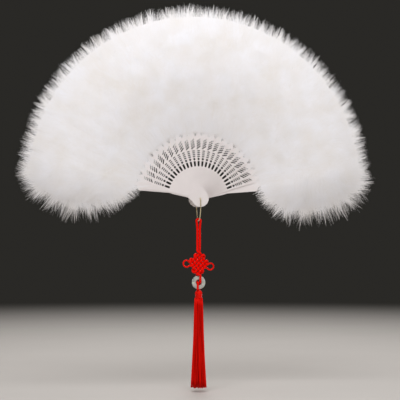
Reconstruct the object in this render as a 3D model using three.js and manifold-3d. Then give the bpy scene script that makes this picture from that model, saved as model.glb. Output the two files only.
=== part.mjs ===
// Folding feather fan: pierced sticks between two guards on a wire bail, a marabou plume on every
// blade, and a pendant of cord tied in an endless knot, with a stone disc and a tassel.
// Millimetres, +Z up, +X to the viewer's right, +Y away from the viewer, origin on the pivot.
import * as THREE from "three";
import { mergeVertices } from "three/addons/utils/BufferGeometryUtils.js";
import Module from "manifold-3d";

const wasm = await Module();
wasm.setup();

// Driving dimensions: the stack of blades
const BLADE_COUNT = 25; // two guards and the sticks between them, an odd number so that one stands upright
const BLADE_PITCH_DEG = 6.43; // angle between neighbours when the fan is open
const STICK_THICKNESS = 0.8;
const GUARD_THICKNESS = 1.5;
const CLEARANCE = 0.3; // between neighbours in the stack, and wherever one piece seats on another

// Driving dimensions: the outline of a stick, with reaches measured from the pivot
const HEAD_RADIUS = 12;
const NECK_WIDTH = 6;
const NECK_REACH = 17;
const SHOULDER_WIDTH = 7.5;
const SHOULDER_REACH = 44;
const LACE_WIDTH = 10.8;
const LACE_REACH = 86;
const STRIP_WIDTH = 4; // the bare tongue that carries the plume
const STRIP_REACH = 165;

// Driving dimensions: the piercing of a stick, from the shoulder outwards
const BRIDGE = 1.3; // plastic left between two openings
const SLOT_WIDTH = 2.9;
const SLOT_LENGTH = 7.5;
const DOT_DIAMETER = 3.4;
const DASH_COUNT = 4;
const DASH_WIDTH = 3.6;
const DASH_HEIGHT = 1.4;
const SLIT_COUNT = 4;
const SLIT_LENGTH = 6.8;
const SLIT_HEIGHT = 1.6;
const SLIT_SLOPE_DEG = 38;

// Driving dimensions: what a guard has of its own
const GUARD_NECK_WIDTH = 5.4;
const GUARD_WAIST_WIDTH = 4.4;
const GUARD_FLARE_WIDTH = 17;
const PANEL_RISE = 0.5; // the raised panel on the outer face
const PANEL_MARGIN = 1.1;

// Driving dimensions: plumes and the ribbon that stops the blades from opening further
const PLUME_REACH = 266; // of the upright plume
const SIDE_PLUME_REACH = 252; // of the plumes on the guards
const PLUME_CENTRE_REACH = 168; // where a plume is widest
const PLUME_HALF_WIDTH = 65;
const PLUME_LOWER_LENGTH = 100; // from its widest place down
const PLUME_THICKNESS = 0.8;
const PLUME_TILT_DEG = 8.5; // plumes lie like louvres, so that they clear each other open and shut
const BARB_COUNT = 11; // tips along the outer edge of a plume
const BARB_DEPTH = 6;
const RIBBON_WIDTH = 3.5;
const RIBBON_THICKNESS = 0.25;

// Driving dimensions: the wire bail, whose upper bar is the pivot pin
const WIRE_DIAMETER = 1.4;
const BAIL_DROP = 31.4;
const BAIL_BEND_RADIUS = 2;
const WIRE_END_GAP = 0.6; // the two ends of the wire butt in the middle of the stack

// Driving dimensions: the pendant
const CORD_DIAMETER = 3.1;
const TIGHT_DIAMETER = 2.5; // the same cord where the knot draws it tight
const CORD_GAP = 0.45; // between strands that run side by side
const WEAVE_DEPTH = 4.1; // between the middles of two strands where they cross
const LOOP_SLACK = 0.65; // between the wire and the cord that hangs on it, for the cord to swing
const HANG_LENGTH = 44.8; // from the bail's foot to the top crossing of the knot
const KNOT_LINES = 5; // strands of the knot each way, an odd number
const KNOT_PITCH = 4.1;
const KNOT_STRETCH = 1.28; // how much taller than wide the knot is drawn
const KNOT_TURN_REACH = 0.9; // how far a strand runs past the last crossing before it turns
const EAR_RADIUS = 4.6;
const KNOT_TILT_DEG = 7;
const DISC_DIAMETER = 19;
const DISC_HOLE_DIAMETER = 7.8;
const DISC_THICKNESS = 4;
const DISC_DROP = 2; // from the lowest crossing of the knot to the disc's rim
const HEAD_BALL_RADIUS = 5;
const HEAD_LENGTH = 11;
const SKIRT_LENGTH = 125;
const SKIRT_TOP_RADIUS = 5.6;
const SKIRT_WAIST_RADIUS = 6.3;
const SKIRT_HEM_RADIUS = 11.4;
const FLUTE_COUNT = 18;
const FLUTE_DEPTH = 0.5;

// Worked out from the sizes above
const PITCH = THREE.MathUtils.degToRad(BLADE_PITCH_DEG);
const TILT = THREE.MathUtils.degToRad(PLUME_TILT_DEG);
const MIDDLE = (BLADE_COUNT - 1) / 2;
const STICK_STEP = STICK_THICKNESS + CLEARANCE;
const GUARD_PLACE = (MIDDLE - 1) * STICK_STEP + (STICK_THICKNESS + GUARD_THICKNESS) / 2 + CLEARANCE;
const STACK_FACE = GUARD_PLACE + GUARD_THICKNESS / 2;
const STRIP_START = LACE_REACH + LACE_WIDTH / 2;
const RIBBON_REACH = STRIP_START + CLEARANCE + RIBBON_WIDTH / 2;
const PLUME_START = RIBBON_REACH + RIBBON_WIDTH / 2 + CLEARANCE;
const WIRE_RADIUS = WIRE_DIAMETER / 2;
const CORD_RADIUS = CORD_DIAMETER / 2;
const BAIL_FACE = STACK_FACE + CLEARANCE + BAIL_BEND_RADIUS;
const STRAND_OFFSET = CORD_RADIUS + CORD_GAP / 2;
const LOOP_RADIUS = WIRE_RADIUS + LOOP_SLACK + CORD_RADIUS;
const KNOT_SIDE = (KNOT_LINES - 1) * KNOT_PITCH;
const KNOT_HALF_DIAGONAL = KNOT_SIDE * Math.SQRT1_2;
const KNOT_HALF_HEIGHT = KNOT_HALF_DIAGONAL * KNOT_STRETCH;
const KNOT_CENTRE_Z = -BAIL_DROP - HANG_LENGTH - KNOT_HALF_HEIGHT;
const DISC_CENTRE_Z = KNOT_CENTRE_Z - KNOT_HALF_HEIGHT - DISC_DROP - DISC_DIAMETER / 2;
const HEAD_TOP_Z = DISC_CENTRE_Z - DISC_DIAMETER / 2 - 3 * CLEARANCE;
const SKIRT_TOP_Z = HEAD_TOP_Z - HEAD_LENGTH - CLEARANCE;

// Materials
const material = (color, roughness, metalness = 0) =>
  new THREE.MeshStandardMaterial({ color, roughness, metalness });
const whitePlastic = material(0xf0ecea, 0.35);
const whiteDown = material(0xf6f4f5, 0.95);
const whiteRibbon = material(0xf2f0ee, 0.6);
const brassWire = material(0xc8a24e, 0.3, 1);
const redCord = material(0xc8140c, 0.6);
const redSilk = material(0xc21209, 0.45);
const paleStone = material(0xb9c2b4, 0.25);

// Closed meshes, and the cuts and joins made on them

// A mesh of positions alone as a solid that can be cut and joined.
function solidOf(geometry) {
  const bare = geometry.clone();
  bare.deleteAttribute("normal");
  bare.deleteAttribute("uv");
  const merged = mergeVertices(bare, 1e-4);
  return new wasm.Manifold(
    new wasm.Mesh({
      numProp: 3,
      vertProperties: merged.getAttribute("position").array,
      triVerts: new Uint32Array(merged.index.array),
    }),
  );
}

function geometryOf(solid) {
  const mesh = solid.getMesh();
  return new THREE.BufferGeometry()
    .setAttribute("position", new THREE.BufferAttribute(mesh.vertProperties, 3))
    .setIndex(new THREE.BufferAttribute(mesh.triVerts, 1));
}

// A flat plate that stands in the XZ plane, centred on y = 0.
function plate(outline, holes, thickness) {
  const shape = new THREE.Shape(outline);
  shape.holes = holes.map((hole) => new THREE.Path(hole));
  const geometry = new THREE.ExtrudeGeometry(shape, { depth: thickness, bevelEnabled: false });
  return geometry.rotateX(Math.PI / 2).translate(0, thickness / 2, 0);
}

// A skin through rings of equal count with a flat cap on each end. Rings turn anticlockwise about the run.
function loft(rings) {
  const count = rings[0].length;
  const points = rings.flat();
  const index = [];
  for (let ring = 0; ring + 1 < rings.length; ring++) {
    for (let k = 0; k < count; k++) {
      const a = ring * count + k;
      const b = ring * count + ((k + 1) % count);
      index.push(a, b, a + count, b, b + count, a + count);
    }
  }
  for (const [ring, turn] of [
    [0, -1],
    [rings.length - 1, 1],
  ]) {
    const hub = points.length;
    const sum = rings[ring].reduce((total, p) => total.add(p), new THREE.Vector3());
    points.push(sum.divideScalar(count));
    for (let k = 0; k < count; k++) {
      const a = ring * count + k;
      const b = ring * count + ((k + 1) % count);
      index.push(...(turn > 0 ? [hub, a, b] : [hub, b, a]));
    }
  }
  return new THREE.BufferGeometry().setFromPoints(points).setIndex(index);
}

// Rings of a round tube along a line of points, carried from point to point without twist.
// radiusAt gives the tube's radius at a point.
function tubeRings(line, radiusAt, sides) {
  let side = null;
  return line.map((point, i) => {
    const ahead = line[Math.min(i + 1, line.length - 1)];
    const behind = line[Math.max(i - 1, 0)];
    const along = ahead.clone().sub(behind).normalize();
    const start = side ?? (Math.abs(along.y) < 0.9 ? new THREE.Vector3(0, 1, 0) : new THREE.Vector3(1, 0, 0));
    side = start.clone().addScaledVector(along, -start.dot(along)).normalize();
    const across = new THREE.Vector3().crossVectors(along, side);
    const radius = radiusAt(point);
    return Array.from({ length: sides }, (_, k) => {
      const turn = (2 * Math.PI * k) / sides;
      return point
        .clone()
        .addScaledVector(side, radius * Math.cos(turn))
        .addScaledVector(across, radius * Math.sin(turn));
    });
  });
}

const tube = (line, radiusAt, sides) => loft(tubeRings(line, radiusAt, sides));

// Points of an arc in a plane, from one angle to another in degrees.
function arc(x, y, radius, from, to, steps) {
  return Array.from({ length: steps + 1 }, (_, k) => {
    const turn = THREE.MathUtils.degToRad(from + ((to - from) * k) / steps);
    return new THREE.Vector2(x + radius * Math.cos(turn), y + radius * Math.sin(turn));
  });
}

// Blades

// The right-hand edge of a blade continued round its left, from (half width, reach) pairs above the head.
function bladeOutline(edge) {
  const head = arc(0, 0, HEAD_RADIUS, -90, 58, 6);
  const tongue = [
    [STRIP_WIDTH / 2, STRIP_START],
    [STRIP_WIDTH / 2, STRIP_REACH - STRIP_WIDTH],
    [STRIP_WIDTH / 4, STRIP_REACH],
  ];
  const right = [...head, ...[...edge, ...tongue].map(([x, z]) => new THREE.Vector2(x, z))];
  const left = right.slice(1).reverse();
  return [...right, ...left.map((p) => new THREE.Vector2(-p.x, p.y))];
}

function pinHole() {
  const sides = 8;
  const reach = (WIRE_RADIUS + CLEARANCE) / Math.cos(Math.PI / sides);
  return arc(0, 0, reach, 0, 360 - 360 / sides, sides - 1);
}

// A rectangle on the blade's centre line, turned by a slope.
function opening(width, height, reach, slopeDegrees = 0) {
  const turn = THREE.MathUtils.degToRad(slopeDegrees);
  const corners = [
    [-width, -height],
    [width, -height],
    [width, height],
    [-width, height],
  ];
  return corners.map(([x, z]) =>
    new THREE.Vector2(x / 2, z / 2).rotateAround(new THREE.Vector2(), turn).add(new THREE.Vector2(0, reach)),
  );
}

// Slot, dot, a ladder of dashes and a run of slanting slits, each a bridge beyond the last. They are drawn
// out or in together, so that they fill the lace from the shoulder to its end.
function piercing() {
  const slope = THREE.MathUtils.degToRad(SLIT_SLOPE_DEG);
  const slitStep = SLIT_HEIGHT / Math.cos(slope);
  const slitRise = (SLIT_LENGTH * Math.sin(slope)) / 2;
  const ladder = DASH_COUNT * (DASH_HEIGHT + BRIDGE);
  const slits = SLIT_COUNT * (slitStep + BRIDGE) + 2 * slitRise;
  const run = BRIDGE + SLOT_LENGTH + BRIDGE + DOT_DIAMETER + BRIDGE + ladder + slits;
  const fit = (LACE_REACH - SHOULDER_REACH) / run;

  const openings = [];
  let reach = SHOULDER_REACH + BRIDGE * fit;
  const place = (height, make) => {
    openings.push(make(reach + (height * fit) / 2));
    reach += (height + BRIDGE) * fit;
  };
  place(SLOT_LENGTH, (at) => opening(SLOT_WIDTH, SLOT_LENGTH * fit, at));
  const dotSides = 8;
  place(DOT_DIAMETER, (at) => arc(0, at, (DOT_DIAMETER * fit) / 2, 0, 360 - 360 / dotSides, dotSides - 1));
  for (let k = 0; k < DASH_COUNT; k++) {
    place(DASH_HEIGHT, (at) => opening(DASH_WIDTH, DASH_HEIGHT * fit, at));
  }
  reach += slitRise * fit;
  for (let k = 0; k < SLIT_COUNT; k++) {
    place(slitStep, (at) => opening(SLIT_LENGTH * fit, SLIT_HEIGHT * fit, at, SLIT_SLOPE_DEG));
  }
  return openings;
}

function stickGeometry() {
  const outline = bladeOutline([
    [NECK_WIDTH / 2, NECK_REACH],
    [SHOULDER_WIDTH / 2, SHOULDER_REACH],
    [SHOULDER_WIDTH / 2, SHOULDER_REACH + SLOT_LENGTH],
    [LACE_WIDTH / 2, LACE_REACH],
  ]);
  return plate(outline, [pinHole(), ...piercing()], STICK_THICKNESS);
}

// A guard is plain, flares towards the plumes, and has a raised panel on the face it turns outwards.
function guardGeometry(outward) {
  const waistReach = SHOULDER_REACH;
  const panelFoot = HEAD_RADIUS + GUARD_NECK_WIDTH;
  const panelTop = LACE_REACH - PANEL_MARGIN;
  const outline = bladeOutline([
    [GUARD_NECK_WIDTH / 2, NECK_REACH],
    [GUARD_NECK_WIDTH / 2, waistReach - GUARD_NECK_WIDTH],
    [GUARD_WAIST_WIDTH / 2, waistReach],
    [GUARD_FLARE_WIDTH / 2, LACE_REACH],
  ]);
  const side = [
    [GUARD_NECK_WIDTH / 2 - PANEL_MARGIN, panelFoot],
    [GUARD_WAIST_WIDTH / 2 - PANEL_MARGIN, waistReach],
    [GUARD_FLARE_WIDTH / 2 - 2 * PANEL_MARGIN, panelTop],
  ];
  const panel = [
    ...side.map(([x, z]) => new THREE.Vector2(x, z)),
    ...side.reverse().map(([x, z]) => new THREE.Vector2(-x, z)),
  ];
  const rise = GUARD_THICKNESS / 2 + PANEL_RISE;
  const raised = plate(panel, [], rise).translate(0, (outward * rise) / 2, 0);
  return geometryOf(solidOf(plate(outline, [pinHole()], GUARD_THICKNESS)).add(solidOf(raised)));
}

// Plumes and ribbon

// Fuller below its widest place than above, with barb tips standing out along the upper part.
function plumeOutline(reach) {
  const points = [];
  const fullness = 2 / 2.6; // under 1 fills out the lower corners
  const smoothEnd = -0.35; // radians from the widest place, where the smooth lower edge ends
  const rimStart = -0.3; // and where the barb tips begin
  const lowSteps = 4;
  for (let k = 0; k <= lowSteps; k++) {
    const turn = -Math.PI / 2 + (k / lowSteps) * (Math.PI / 2 + smoothEnd);
    const x = PLUME_HALF_WIDTH * Math.cos(turn) ** fullness;
    const z = PLUME_CENTRE_REACH - PLUME_LOWER_LENGTH * (-Math.sin(turn)) ** fullness;
    points.push(new THREE.Vector2(x, z));
  }
  const rim = [];
  for (let k = 0; k < 2 * BARB_COUNT - 1; k++) {
    const turn = rimStart + ((Math.PI - 2 * rimStart) * k) / (2 * BARB_COUNT - 2);
    const inset = k % 2 ? BARB_DEPTH : 0;
    rim.push(
      new THREE.Vector2(
        (PLUME_HALF_WIDTH - inset) * Math.cos(turn),
        PLUME_CENTRE_REACH + (reach - PLUME_CENTRE_REACH - inset) * Math.sin(turn),
      ),
    );
  }
  const left = points.slice(1).reverse();
  return [...points, ...rim, ...left.map((p) => new THREE.Vector2(-p.x, p.y))];
}

// A thin vane, tilted about its blade, notched for the blade's tongue and hollowed to clear the ribbon.
function plumeGeometry(reach) {
  const vane = plate(plumeOutline(reach), [], PLUME_THICKNESS).rotateZ(-TILT);
  const notchTop = STRIP_REACH + CLEARANCE;
  const notchDepth = 2 * (STRIP_WIDTH + GUARD_THICKNESS);
  const notch = new THREE.BoxGeometry(STRIP_WIDTH + 2 * CLEARANCE, notchDepth, notchTop);
  notch.translate(0, 0, notchTop / 2);
  const hollow = new THREE.CylinderGeometry(PLUME_START, PLUME_START, 2 * PLUME_HALF_WIDTH, 48);
  return geometryOf(solidOf(vane).subtract(solidOf(notch)).subtract(solidOf(hollow)));
}

// Where a blade lies in the stack: the left guard in front, the right guard behind.
function layerOf(blade) {
  const step = blade - MIDDLE;
  return Math.abs(step) === MIDDLE ? Math.sign(step) * GUARD_PLACE : step * STICK_STEP;
}

// A band across the backs of all the tongues, with its ends on the inner faces of the guards.
function ribbonGeometry() {
  const stepsPerBlade = 2;
  const behind = (STICK_THICKNESS + RIBBON_THICKNESS) / 2 + CLEARANCE + STICK_STEP / 4;
  const lastStick = MIDDLE - 1;
  const guardFace = GUARD_PLACE - GUARD_THICKNESS / 2 - CLEARANCE - RIBBON_THICKNESS / 2;
  const rings = [];
  for (let k = 0; k <= stepsPerBlade * (BLADE_COUNT - 1); k++) {
    const step = k / stepsPerBlade - MIDDLE;
    const beyond = Math.max(0, step - lastStick);
    const y = THREE.MathUtils.lerp(Math.min(step, lastStick) * STICK_STEP + behind, guardFace, beyond);
    const corners = [
      [-1, -1],
      [-1, 1],
      [1, 1],
      [1, -1],
    ];
    rings.push(
      corners.map(([out, back]) => {
        const reach = RIBBON_REACH + (out * RIBBON_WIDTH) / 2;
        const depth = y + (back * RIBBON_THICKNESS) / 2;
        return new THREE.Vector3(reach * Math.sin(step * PITCH), depth, reach * Math.cos(step * PITCH));
      }),
    );
  }
  return loft(rings);
}

// Bail

// One wire, bent from its end in the middle of the stack, round the foot and back to the other end.
function bailLine() {
  const barSteps = 4;
  const barEnd = BAIL_FACE - BAIL_BEND_RADIUS;
  const legEnd = HEAD_RADIUS + CLEARANCE;
  const half = [];
  for (let k = 0; k <= barSteps; k++) {
    half.push(new THREE.Vector2(THREE.MathUtils.lerp(WIRE_END_GAP / 2, barEnd, k / barSteps), 0));
  }
  half.push(...arc(barEnd, -BAIL_BEND_RADIUS, BAIL_BEND_RADIUS, 90, 0, 4).slice(1));
  const footDepth = BAIL_DROP - legEnd;
  for (const p of arc(0, 0, 1, 0, -90, 8)) {
    const sharp = 1.1; // over 1 draws the legs straighter towards the foot
    half.push(new THREE.Vector2(BAIL_FACE * p.x ** sharp, -legEnd - footDepth * (-p.y) ** sharp));
  }
  const back = half.map((p) => new THREE.Vector3(0, p.x, p.y));
  const front = half.slice(0, -1).reverse();
  return [...back, ...front.map((p) => new THREE.Vector3(0, -p.x, p.y))];
}

// Pendant

// A point of the knot's lattice, from steps down to the right and down to the left of its top corner.
function latticePoint(right, left, y) {
  const x = (right - left) * Math.SQRT1_2;
  const z = KNOT_HALF_DIAGONAL - (right + left) * Math.SQRT1_2;
  return new THREE.Vector3(x, y, z * KNOT_STRETCH);
}

// One strand of the knot, running to and fro across the lattice, over and under the other strand.
// hand 1 starts down to the right, hand -1 is its mirror image and passes under where the first passes over.
function knotStrand(hand) {
  const sway = WEAVE_DEPTH / 2;
  const samples = 3; // points from one crossing to the next
  const last = KNOT_LINES - 1;
  const line = [];
  const add = (along, across, y) => {
    const p = latticePoint(along, across, -y * hand);
    line.push(new THREE.Vector3(p.x * hand, p.y, p.z));
  };
  for (let row = 0; row < KNOT_LINES; row++) {
    const forward = row % 2 === 0;
    for (let k = 0; k <= last * samples; k++) {
      const crossing = forward ? k / samples : last - k / samples;
      const weave = Math.cos(Math.PI * (crossing + row));
      add(crossing * KNOT_PITCH, row * KNOT_PITCH, sway * weave);
    }
    if (row === last) break;
    const end = forward ? 1 : -1;
    const edge = forward ? KNOT_SIDE : 0;
    const crossing = forward ? last : 0;
    const rise = sway * Math.cos(Math.PI * (crossing + row));
    const turnSteps = 6;
    if (row === 0) {
      line.push(...earLoop(hand, rise));
      continue;
    }
    for (let k = 1; k < turnSteps; k++) {
      const turn = (Math.PI * k) / turnSteps;
      const along = edge + end * (KNOT_TURN_REACH + (KNOT_PITCH / 2) * Math.sin(turn));
      const across = (row + 0.5) * KNOT_PITCH - (KNOT_PITCH / 2) * Math.cos(turn);
      add(along, across, rise * Math.cos(turn));
    }
  }
  return line;
}

// The large loop that stands out beside the knot, where a strand makes its first turn.
function earLoop(hand, rise) {
  const steps = 9;
  const startDegrees = 140; // where the strand comes out of the knot's side corner
  const endDegrees = -145; // and where it goes back in
  const centreX = KNOT_HALF_DIAGONAL + EAR_RADIUS + CORD_RADIUS / 2;
  const centreZ = -KNOT_PITCH / 2;
  return arc(centreX, centreZ, EAR_RADIUS, startDegrees, endDegrees, steps).map((p, k) => {
    const y = -hand * rise * Math.cos((Math.PI * (k + 1)) / (steps + 2));
    return new THREE.Vector3(hand * p.x, y, p.y);
  });
}

// From the knot's lowest crossing past one face of the disc, through its hole and down its other face.
function discTail(hand) {
  const clear = DISC_THICKNESS / 2 + CLEARANCE + CORD_RADIUS;
  const bend = CORD_RADIUS + CLEARANCE;
  const upper = arc(bend - clear, DISC_CENTRE_Z + bend, bend, 180, 270, 3);
  const lower = arc(clear - bend, DISC_CENTRE_Z - bend, bend, 90, 0, 3);
  const rim = DISC_DIAMETER / 2;
  const faces = [
    new THREE.Vector2(-clear, DISC_CENTRE_Z + rim + CLEARANCE),
    new THREE.Vector2(-clear, DISC_CENTRE_Z + rim / 2 + bend / 2),
    ...upper,
    ...lower,
    new THREE.Vector2(clear, DISC_CENTRE_Z - rim / 2 - bend / 2),
  ];
  const inner = Math.hypot(STRAND_OFFSET, clear) - CORD_RADIUS;
  const seat = Math.sqrt(Math.max(0, (HEAD_BALL_RADIUS + CLEARANCE) ** 2 - inner ** 2));
  faces.push(new THREE.Vector2(clear, HEAD_TOP_Z - HEAD_BALL_RADIUS + seat));
  return faces.map((p) => new THREE.Vector3(hand * STRAND_OFFSET, hand * p.x, p.y));
}

// The whole cord as one unbroken line: tail, knot, up to the bail, over its foot, down, knot and tail.
function cordLine() {
  const tilt = new THREE.Matrix4().makeRotationY(THREE.MathUtils.degToRad(KNOT_TILT_DEG));
  const lift = new THREE.Matrix4().makeTranslation(0, 0, KNOT_CENTRE_Z);
  const strand = (hand) => {
    const knot = knotStrand(hand).map((p) => p.applyMatrix4(tilt).applyMatrix4(lift));
    const hangShares = [0.1, 0.25, 0.45, 0.65, 0.82, 0.94];
    const partShare = 0.8; // from where the two strands draw apart, to cross at the top of the knot
    const hang = hangShares.map((share) => {
      const x = -hand * Math.max(STRAND_OFFSET, LOOP_RADIUS - CORD_DIAMETER * share * 2);
      const apart = Math.max(0, share - partShare) / (1 - partShare);
      return new THREE.Vector3(x, (-hand * WEAVE_DEPTH * apart) / 2, -BAIL_DROP - HANG_LENGTH * share);
    });
    return [...hang, ...knot, ...discTail(hand)];
  };
  const over = arc(0, -BAIL_DROP, LOOP_RADIUS, 180, 0, 6);
  const crown = over.map((p) => new THREE.Vector3(p.x, 0, p.y));
  return [...strand(1).reverse(), ...crown, ...strand(-1)];
}

// The cord is drawn tighter in the knot than above and below it.
function cordRadiusAt(point) {
  const fromKnot = Math.abs(point.z - KNOT_CENTRE_Z) - KNOT_HALF_HEIGHT;
  const loose = THREE.MathUtils.smoothstep(fromKnot, 0, CORD_DIAMETER);
  return THREE.MathUtils.lerp(TIGHT_DIAMETER, CORD_DIAMETER, loose) / 2;
}

// The least gap between stretches of one tube that aren't neighbours along it, at its points and halfway on.
function leastGap(points, radiusAt) {
  const line = points.flatMap((p, i) => (i ? [p.clone().lerp(points[i - 1], 0.5), p] : [p]));
  const lengths = [0];
  for (let i = 1; i < line.length; i++) lengths.push(lengths[i - 1] + line[i].distanceTo(line[i - 1]));
  let least = Infinity;
  line.forEach((p, i) => {
    for (let k = i + 1; k < line.length; k++) {
      const gap = p.distanceTo(line[k]) - radiusAt(p) - radiusAt(line[k]);
      if (lengths[k] - lengths[i] > 2.5 * CORD_DIAMETER) least = Math.min(least, gap);
    }
  });
  return least;
}

// A round disc with softened edges and a hole, facing the viewer.
function discGeometry() {
  const rim = DISC_DIAMETER / 2;
  const hole = DISC_HOLE_DIAMETER / 2;
  const half = DISC_THICKNESS / 2;
  const soft = half / 2;
  const profile = [
    [hole, -half + soft],
    [hole + soft, -half],
    [rim - soft, -half],
    [rim, -half + soft],
    [rim, half - soft],
    [rim - soft, half],
    [hole + soft, half],
    [hole, half - soft],
    [hole, -half + soft],
  ];
  return new THREE.LatheGeometry(
    profile.map(([x, y]) => new THREE.Vector2(x, y)),
    24,
  );
}

// The bound head of the tassel: a ball top that the cord ends meet, and a neck with two binding grooves.
function headGeometry() {
  const groove = HEAD_BALL_RADIUS / 8;
  const neck = HEAD_LENGTH - HEAD_BALL_RADIUS;
  const ball = arc(0, 0, HEAD_BALL_RADIUS, -90, 0, 6).map((p) => new THREE.Vector2(p.x, p.y));
  const profile = [
    ...ball,
    ...[0.2, 0.3, 0.4, 0.6, 0.7, 0.8].map(
      (share, k) => new THREE.Vector2(HEAD_BALL_RADIUS - (k % 3 === 1 ? groove : 0), neck * share),
    ),
    new THREE.Vector2(HEAD_BALL_RADIUS, neck),
    new THREE.Vector2(0, neck),
  ];
  profile[0].x = 0;
  return new THREE.LatheGeometry(profile, 12).rotateX(-Math.PI / 2);
}

// Hanging threads as one fluted skirt, drawn in at the head and open towards the hem.
function skirtGeometry() {
  const shares = [0, 0.04, 0.12, 0.4, 0.75, 1];
  const points = 2 * FLUTE_COUNT;
  const rings = shares.map((share) => {
    const swell = Math.min(1, share / 0.12);
    const upper = THREE.MathUtils.lerp(SKIRT_TOP_RADIUS, SKIRT_WAIST_RADIUS, Math.sqrt(swell));
    const radius = upper + (SKIRT_HEM_RADIUS - SKIRT_WAIST_RADIUS) * share ** 1.6;
    return Array.from({ length: points }, (_, k) => {
      const turn = (2 * Math.PI * k) / points;
      const reach = radius - (k % 2 ? FLUTE_DEPTH : 0);
      return new THREE.Vector3(reach * Math.cos(turn), -reach * Math.sin(turn), -SKIRT_LENGTH * share);
    });
  });
  return loft(rings);
}

// Assembly
const fan = new THREE.Group();

function addMesh(parent, name, geometry, look) {
  const mesh = new THREE.Mesh(geometry, look);
  mesh.name = name;
  parent.add(mesh);
  return mesh;
}

const stick = stickGeometry();
for (let blade = 0; blade < BLADE_COUNT; blade++) {
  const label = String(blade + 1).padStart(2, "0");
  const leaf = new THREE.Group();
  leaf.rotation.y = (blade - MIDDLE) * PITCH;
  leaf.position.y = layerOf(blade);
  const spread = Math.abs(blade - MIDDLE) / MIDDLE;
  const reach = THREE.MathUtils.lerp(PLUME_REACH, SIDE_PLUME_REACH, spread ** 2);
  if (blade === 0) addMesh(leaf, "front_guard", guardGeometry(-1), whitePlastic);
  else if (blade === BLADE_COUNT - 1) addMesh(leaf, "back_guard", guardGeometry(1), whitePlastic);
  else addMesh(leaf, `stick_${label}`, stick, whitePlastic);
  addMesh(leaf, `plume_${label}`, plumeGeometry(reach), whiteDown);
  fan.add(leaf);
}
addMesh(fan, "spread_ribbon", ribbonGeometry(), whiteRibbon);
addMesh(fan, "bail", tube(bailLine(), () => WIRE_RADIUS, 8), brassWire);

const cord = cordLine();
console.log(`cord: least gap to itself ${leastGap(cord, cordRadiusAt).toFixed(2)} mm`);
addMesh(fan, "tassel_cord", tube(cord, cordRadiusAt, 5), redCord);
addMesh(fan, "stone_disc", discGeometry(), paleStone).position.z = DISC_CENTRE_Z;
addMesh(fan, "tassel_head", headGeometry(), redSilk).position.z = HEAD_TOP_Z - HEAD_BALL_RADIUS;
addMesh(fan, "tassel_skirt", skirtGeometry(), redSilk).position.z = SKIRT_TOP_Z;

export default fan;
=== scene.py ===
"""Looks of a folding feather fan: marabou plumes on pierced plastic sticks, a wire bail, and a pendant of
knotted cord with a stone disc and a silk tassel. Metres, +Z up, the viewer at -Y, origin on the pivot."""

import math

import bpy
import numpy as np
from bpy.props import FloatProperty, FloatVectorProperty, IntProperty, PointerProperty
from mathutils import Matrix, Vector


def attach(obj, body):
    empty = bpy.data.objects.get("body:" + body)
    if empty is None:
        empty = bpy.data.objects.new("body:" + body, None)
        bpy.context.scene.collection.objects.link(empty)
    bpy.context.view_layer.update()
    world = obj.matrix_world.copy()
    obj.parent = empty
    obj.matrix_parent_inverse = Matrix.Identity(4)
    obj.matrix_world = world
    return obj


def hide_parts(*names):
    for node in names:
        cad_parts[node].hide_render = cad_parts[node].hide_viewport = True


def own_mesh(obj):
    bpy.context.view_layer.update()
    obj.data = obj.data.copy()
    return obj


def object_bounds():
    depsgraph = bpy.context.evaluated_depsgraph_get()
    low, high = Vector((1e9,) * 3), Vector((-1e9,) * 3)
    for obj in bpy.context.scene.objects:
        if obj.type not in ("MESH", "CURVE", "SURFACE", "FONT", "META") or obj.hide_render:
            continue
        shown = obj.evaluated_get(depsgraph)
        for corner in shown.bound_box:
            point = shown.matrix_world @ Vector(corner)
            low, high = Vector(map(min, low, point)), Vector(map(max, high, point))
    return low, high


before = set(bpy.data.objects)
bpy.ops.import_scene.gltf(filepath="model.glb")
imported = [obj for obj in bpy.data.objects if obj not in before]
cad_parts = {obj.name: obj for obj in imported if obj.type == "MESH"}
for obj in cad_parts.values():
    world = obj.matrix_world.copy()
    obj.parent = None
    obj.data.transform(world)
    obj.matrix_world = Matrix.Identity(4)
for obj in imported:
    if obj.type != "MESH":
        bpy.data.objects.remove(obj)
CAD_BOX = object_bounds()

bl_info = {
    "name": "Feather fan looks",
    "version": (1, 0, 0),
    "blender": (4, 5, 0),
    "location": "3D View > Sidebar > Fan",
    "description": "Dresses the packed folding fan in down, plastic, wire, cord, stone and silk",
    "category": "Object",
}

MM = 0.001
RIGHT = np.array([1.0, 0.0, 0.0])
BACK = np.array([0.0, 1.0, 0.0])

# Blades, as in the part
BLADE_COUNT = sum(name.startswith("plume_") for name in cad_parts)
MIDDLE = (BLADE_COUNT - 1) // 2
PITCH = math.radians(6.43)
STICK_STEP = 1.1 * MM
GUARD_PLACE = 13.55 * MM

# Ribbon, as in the part, with some slack between blades and a gap to the tongue that it gathers at
RIBBON_REACH = 93.45 * MM
RIBBON_BEHIND = 1.1 * MM
RIBBON_GUARD_PLACE = 12.375 * MM
RIBBON_HALF_WIDTH = 1.75 * MM
RIBBON_HALF_THICKNESS = 0.125 * MM
RIBBON_SLACK = 0.6 * MM

# Plumes, as in the part
PLUME_TILT = math.radians(8.5)
PLUME_REACH = 266 * MM
SIDE_PLUME_REACH = 252 * MM
PLUME_CENTRE = 168 * MM

# Lobes of down past the left and right guards: how square they are towards the tip and towards the sticks,
# and where the last ring of their dense down lies
LOBE_TIP_POWERS = {-1: 2.4, 0: 2.0, 1: 2.7}
LOBE_FOOT_POWERS = {-1: 1.6, 0: 2.0, 1: 2.2}
LOBE_LAST_TURN = math.radians(84)

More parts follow.
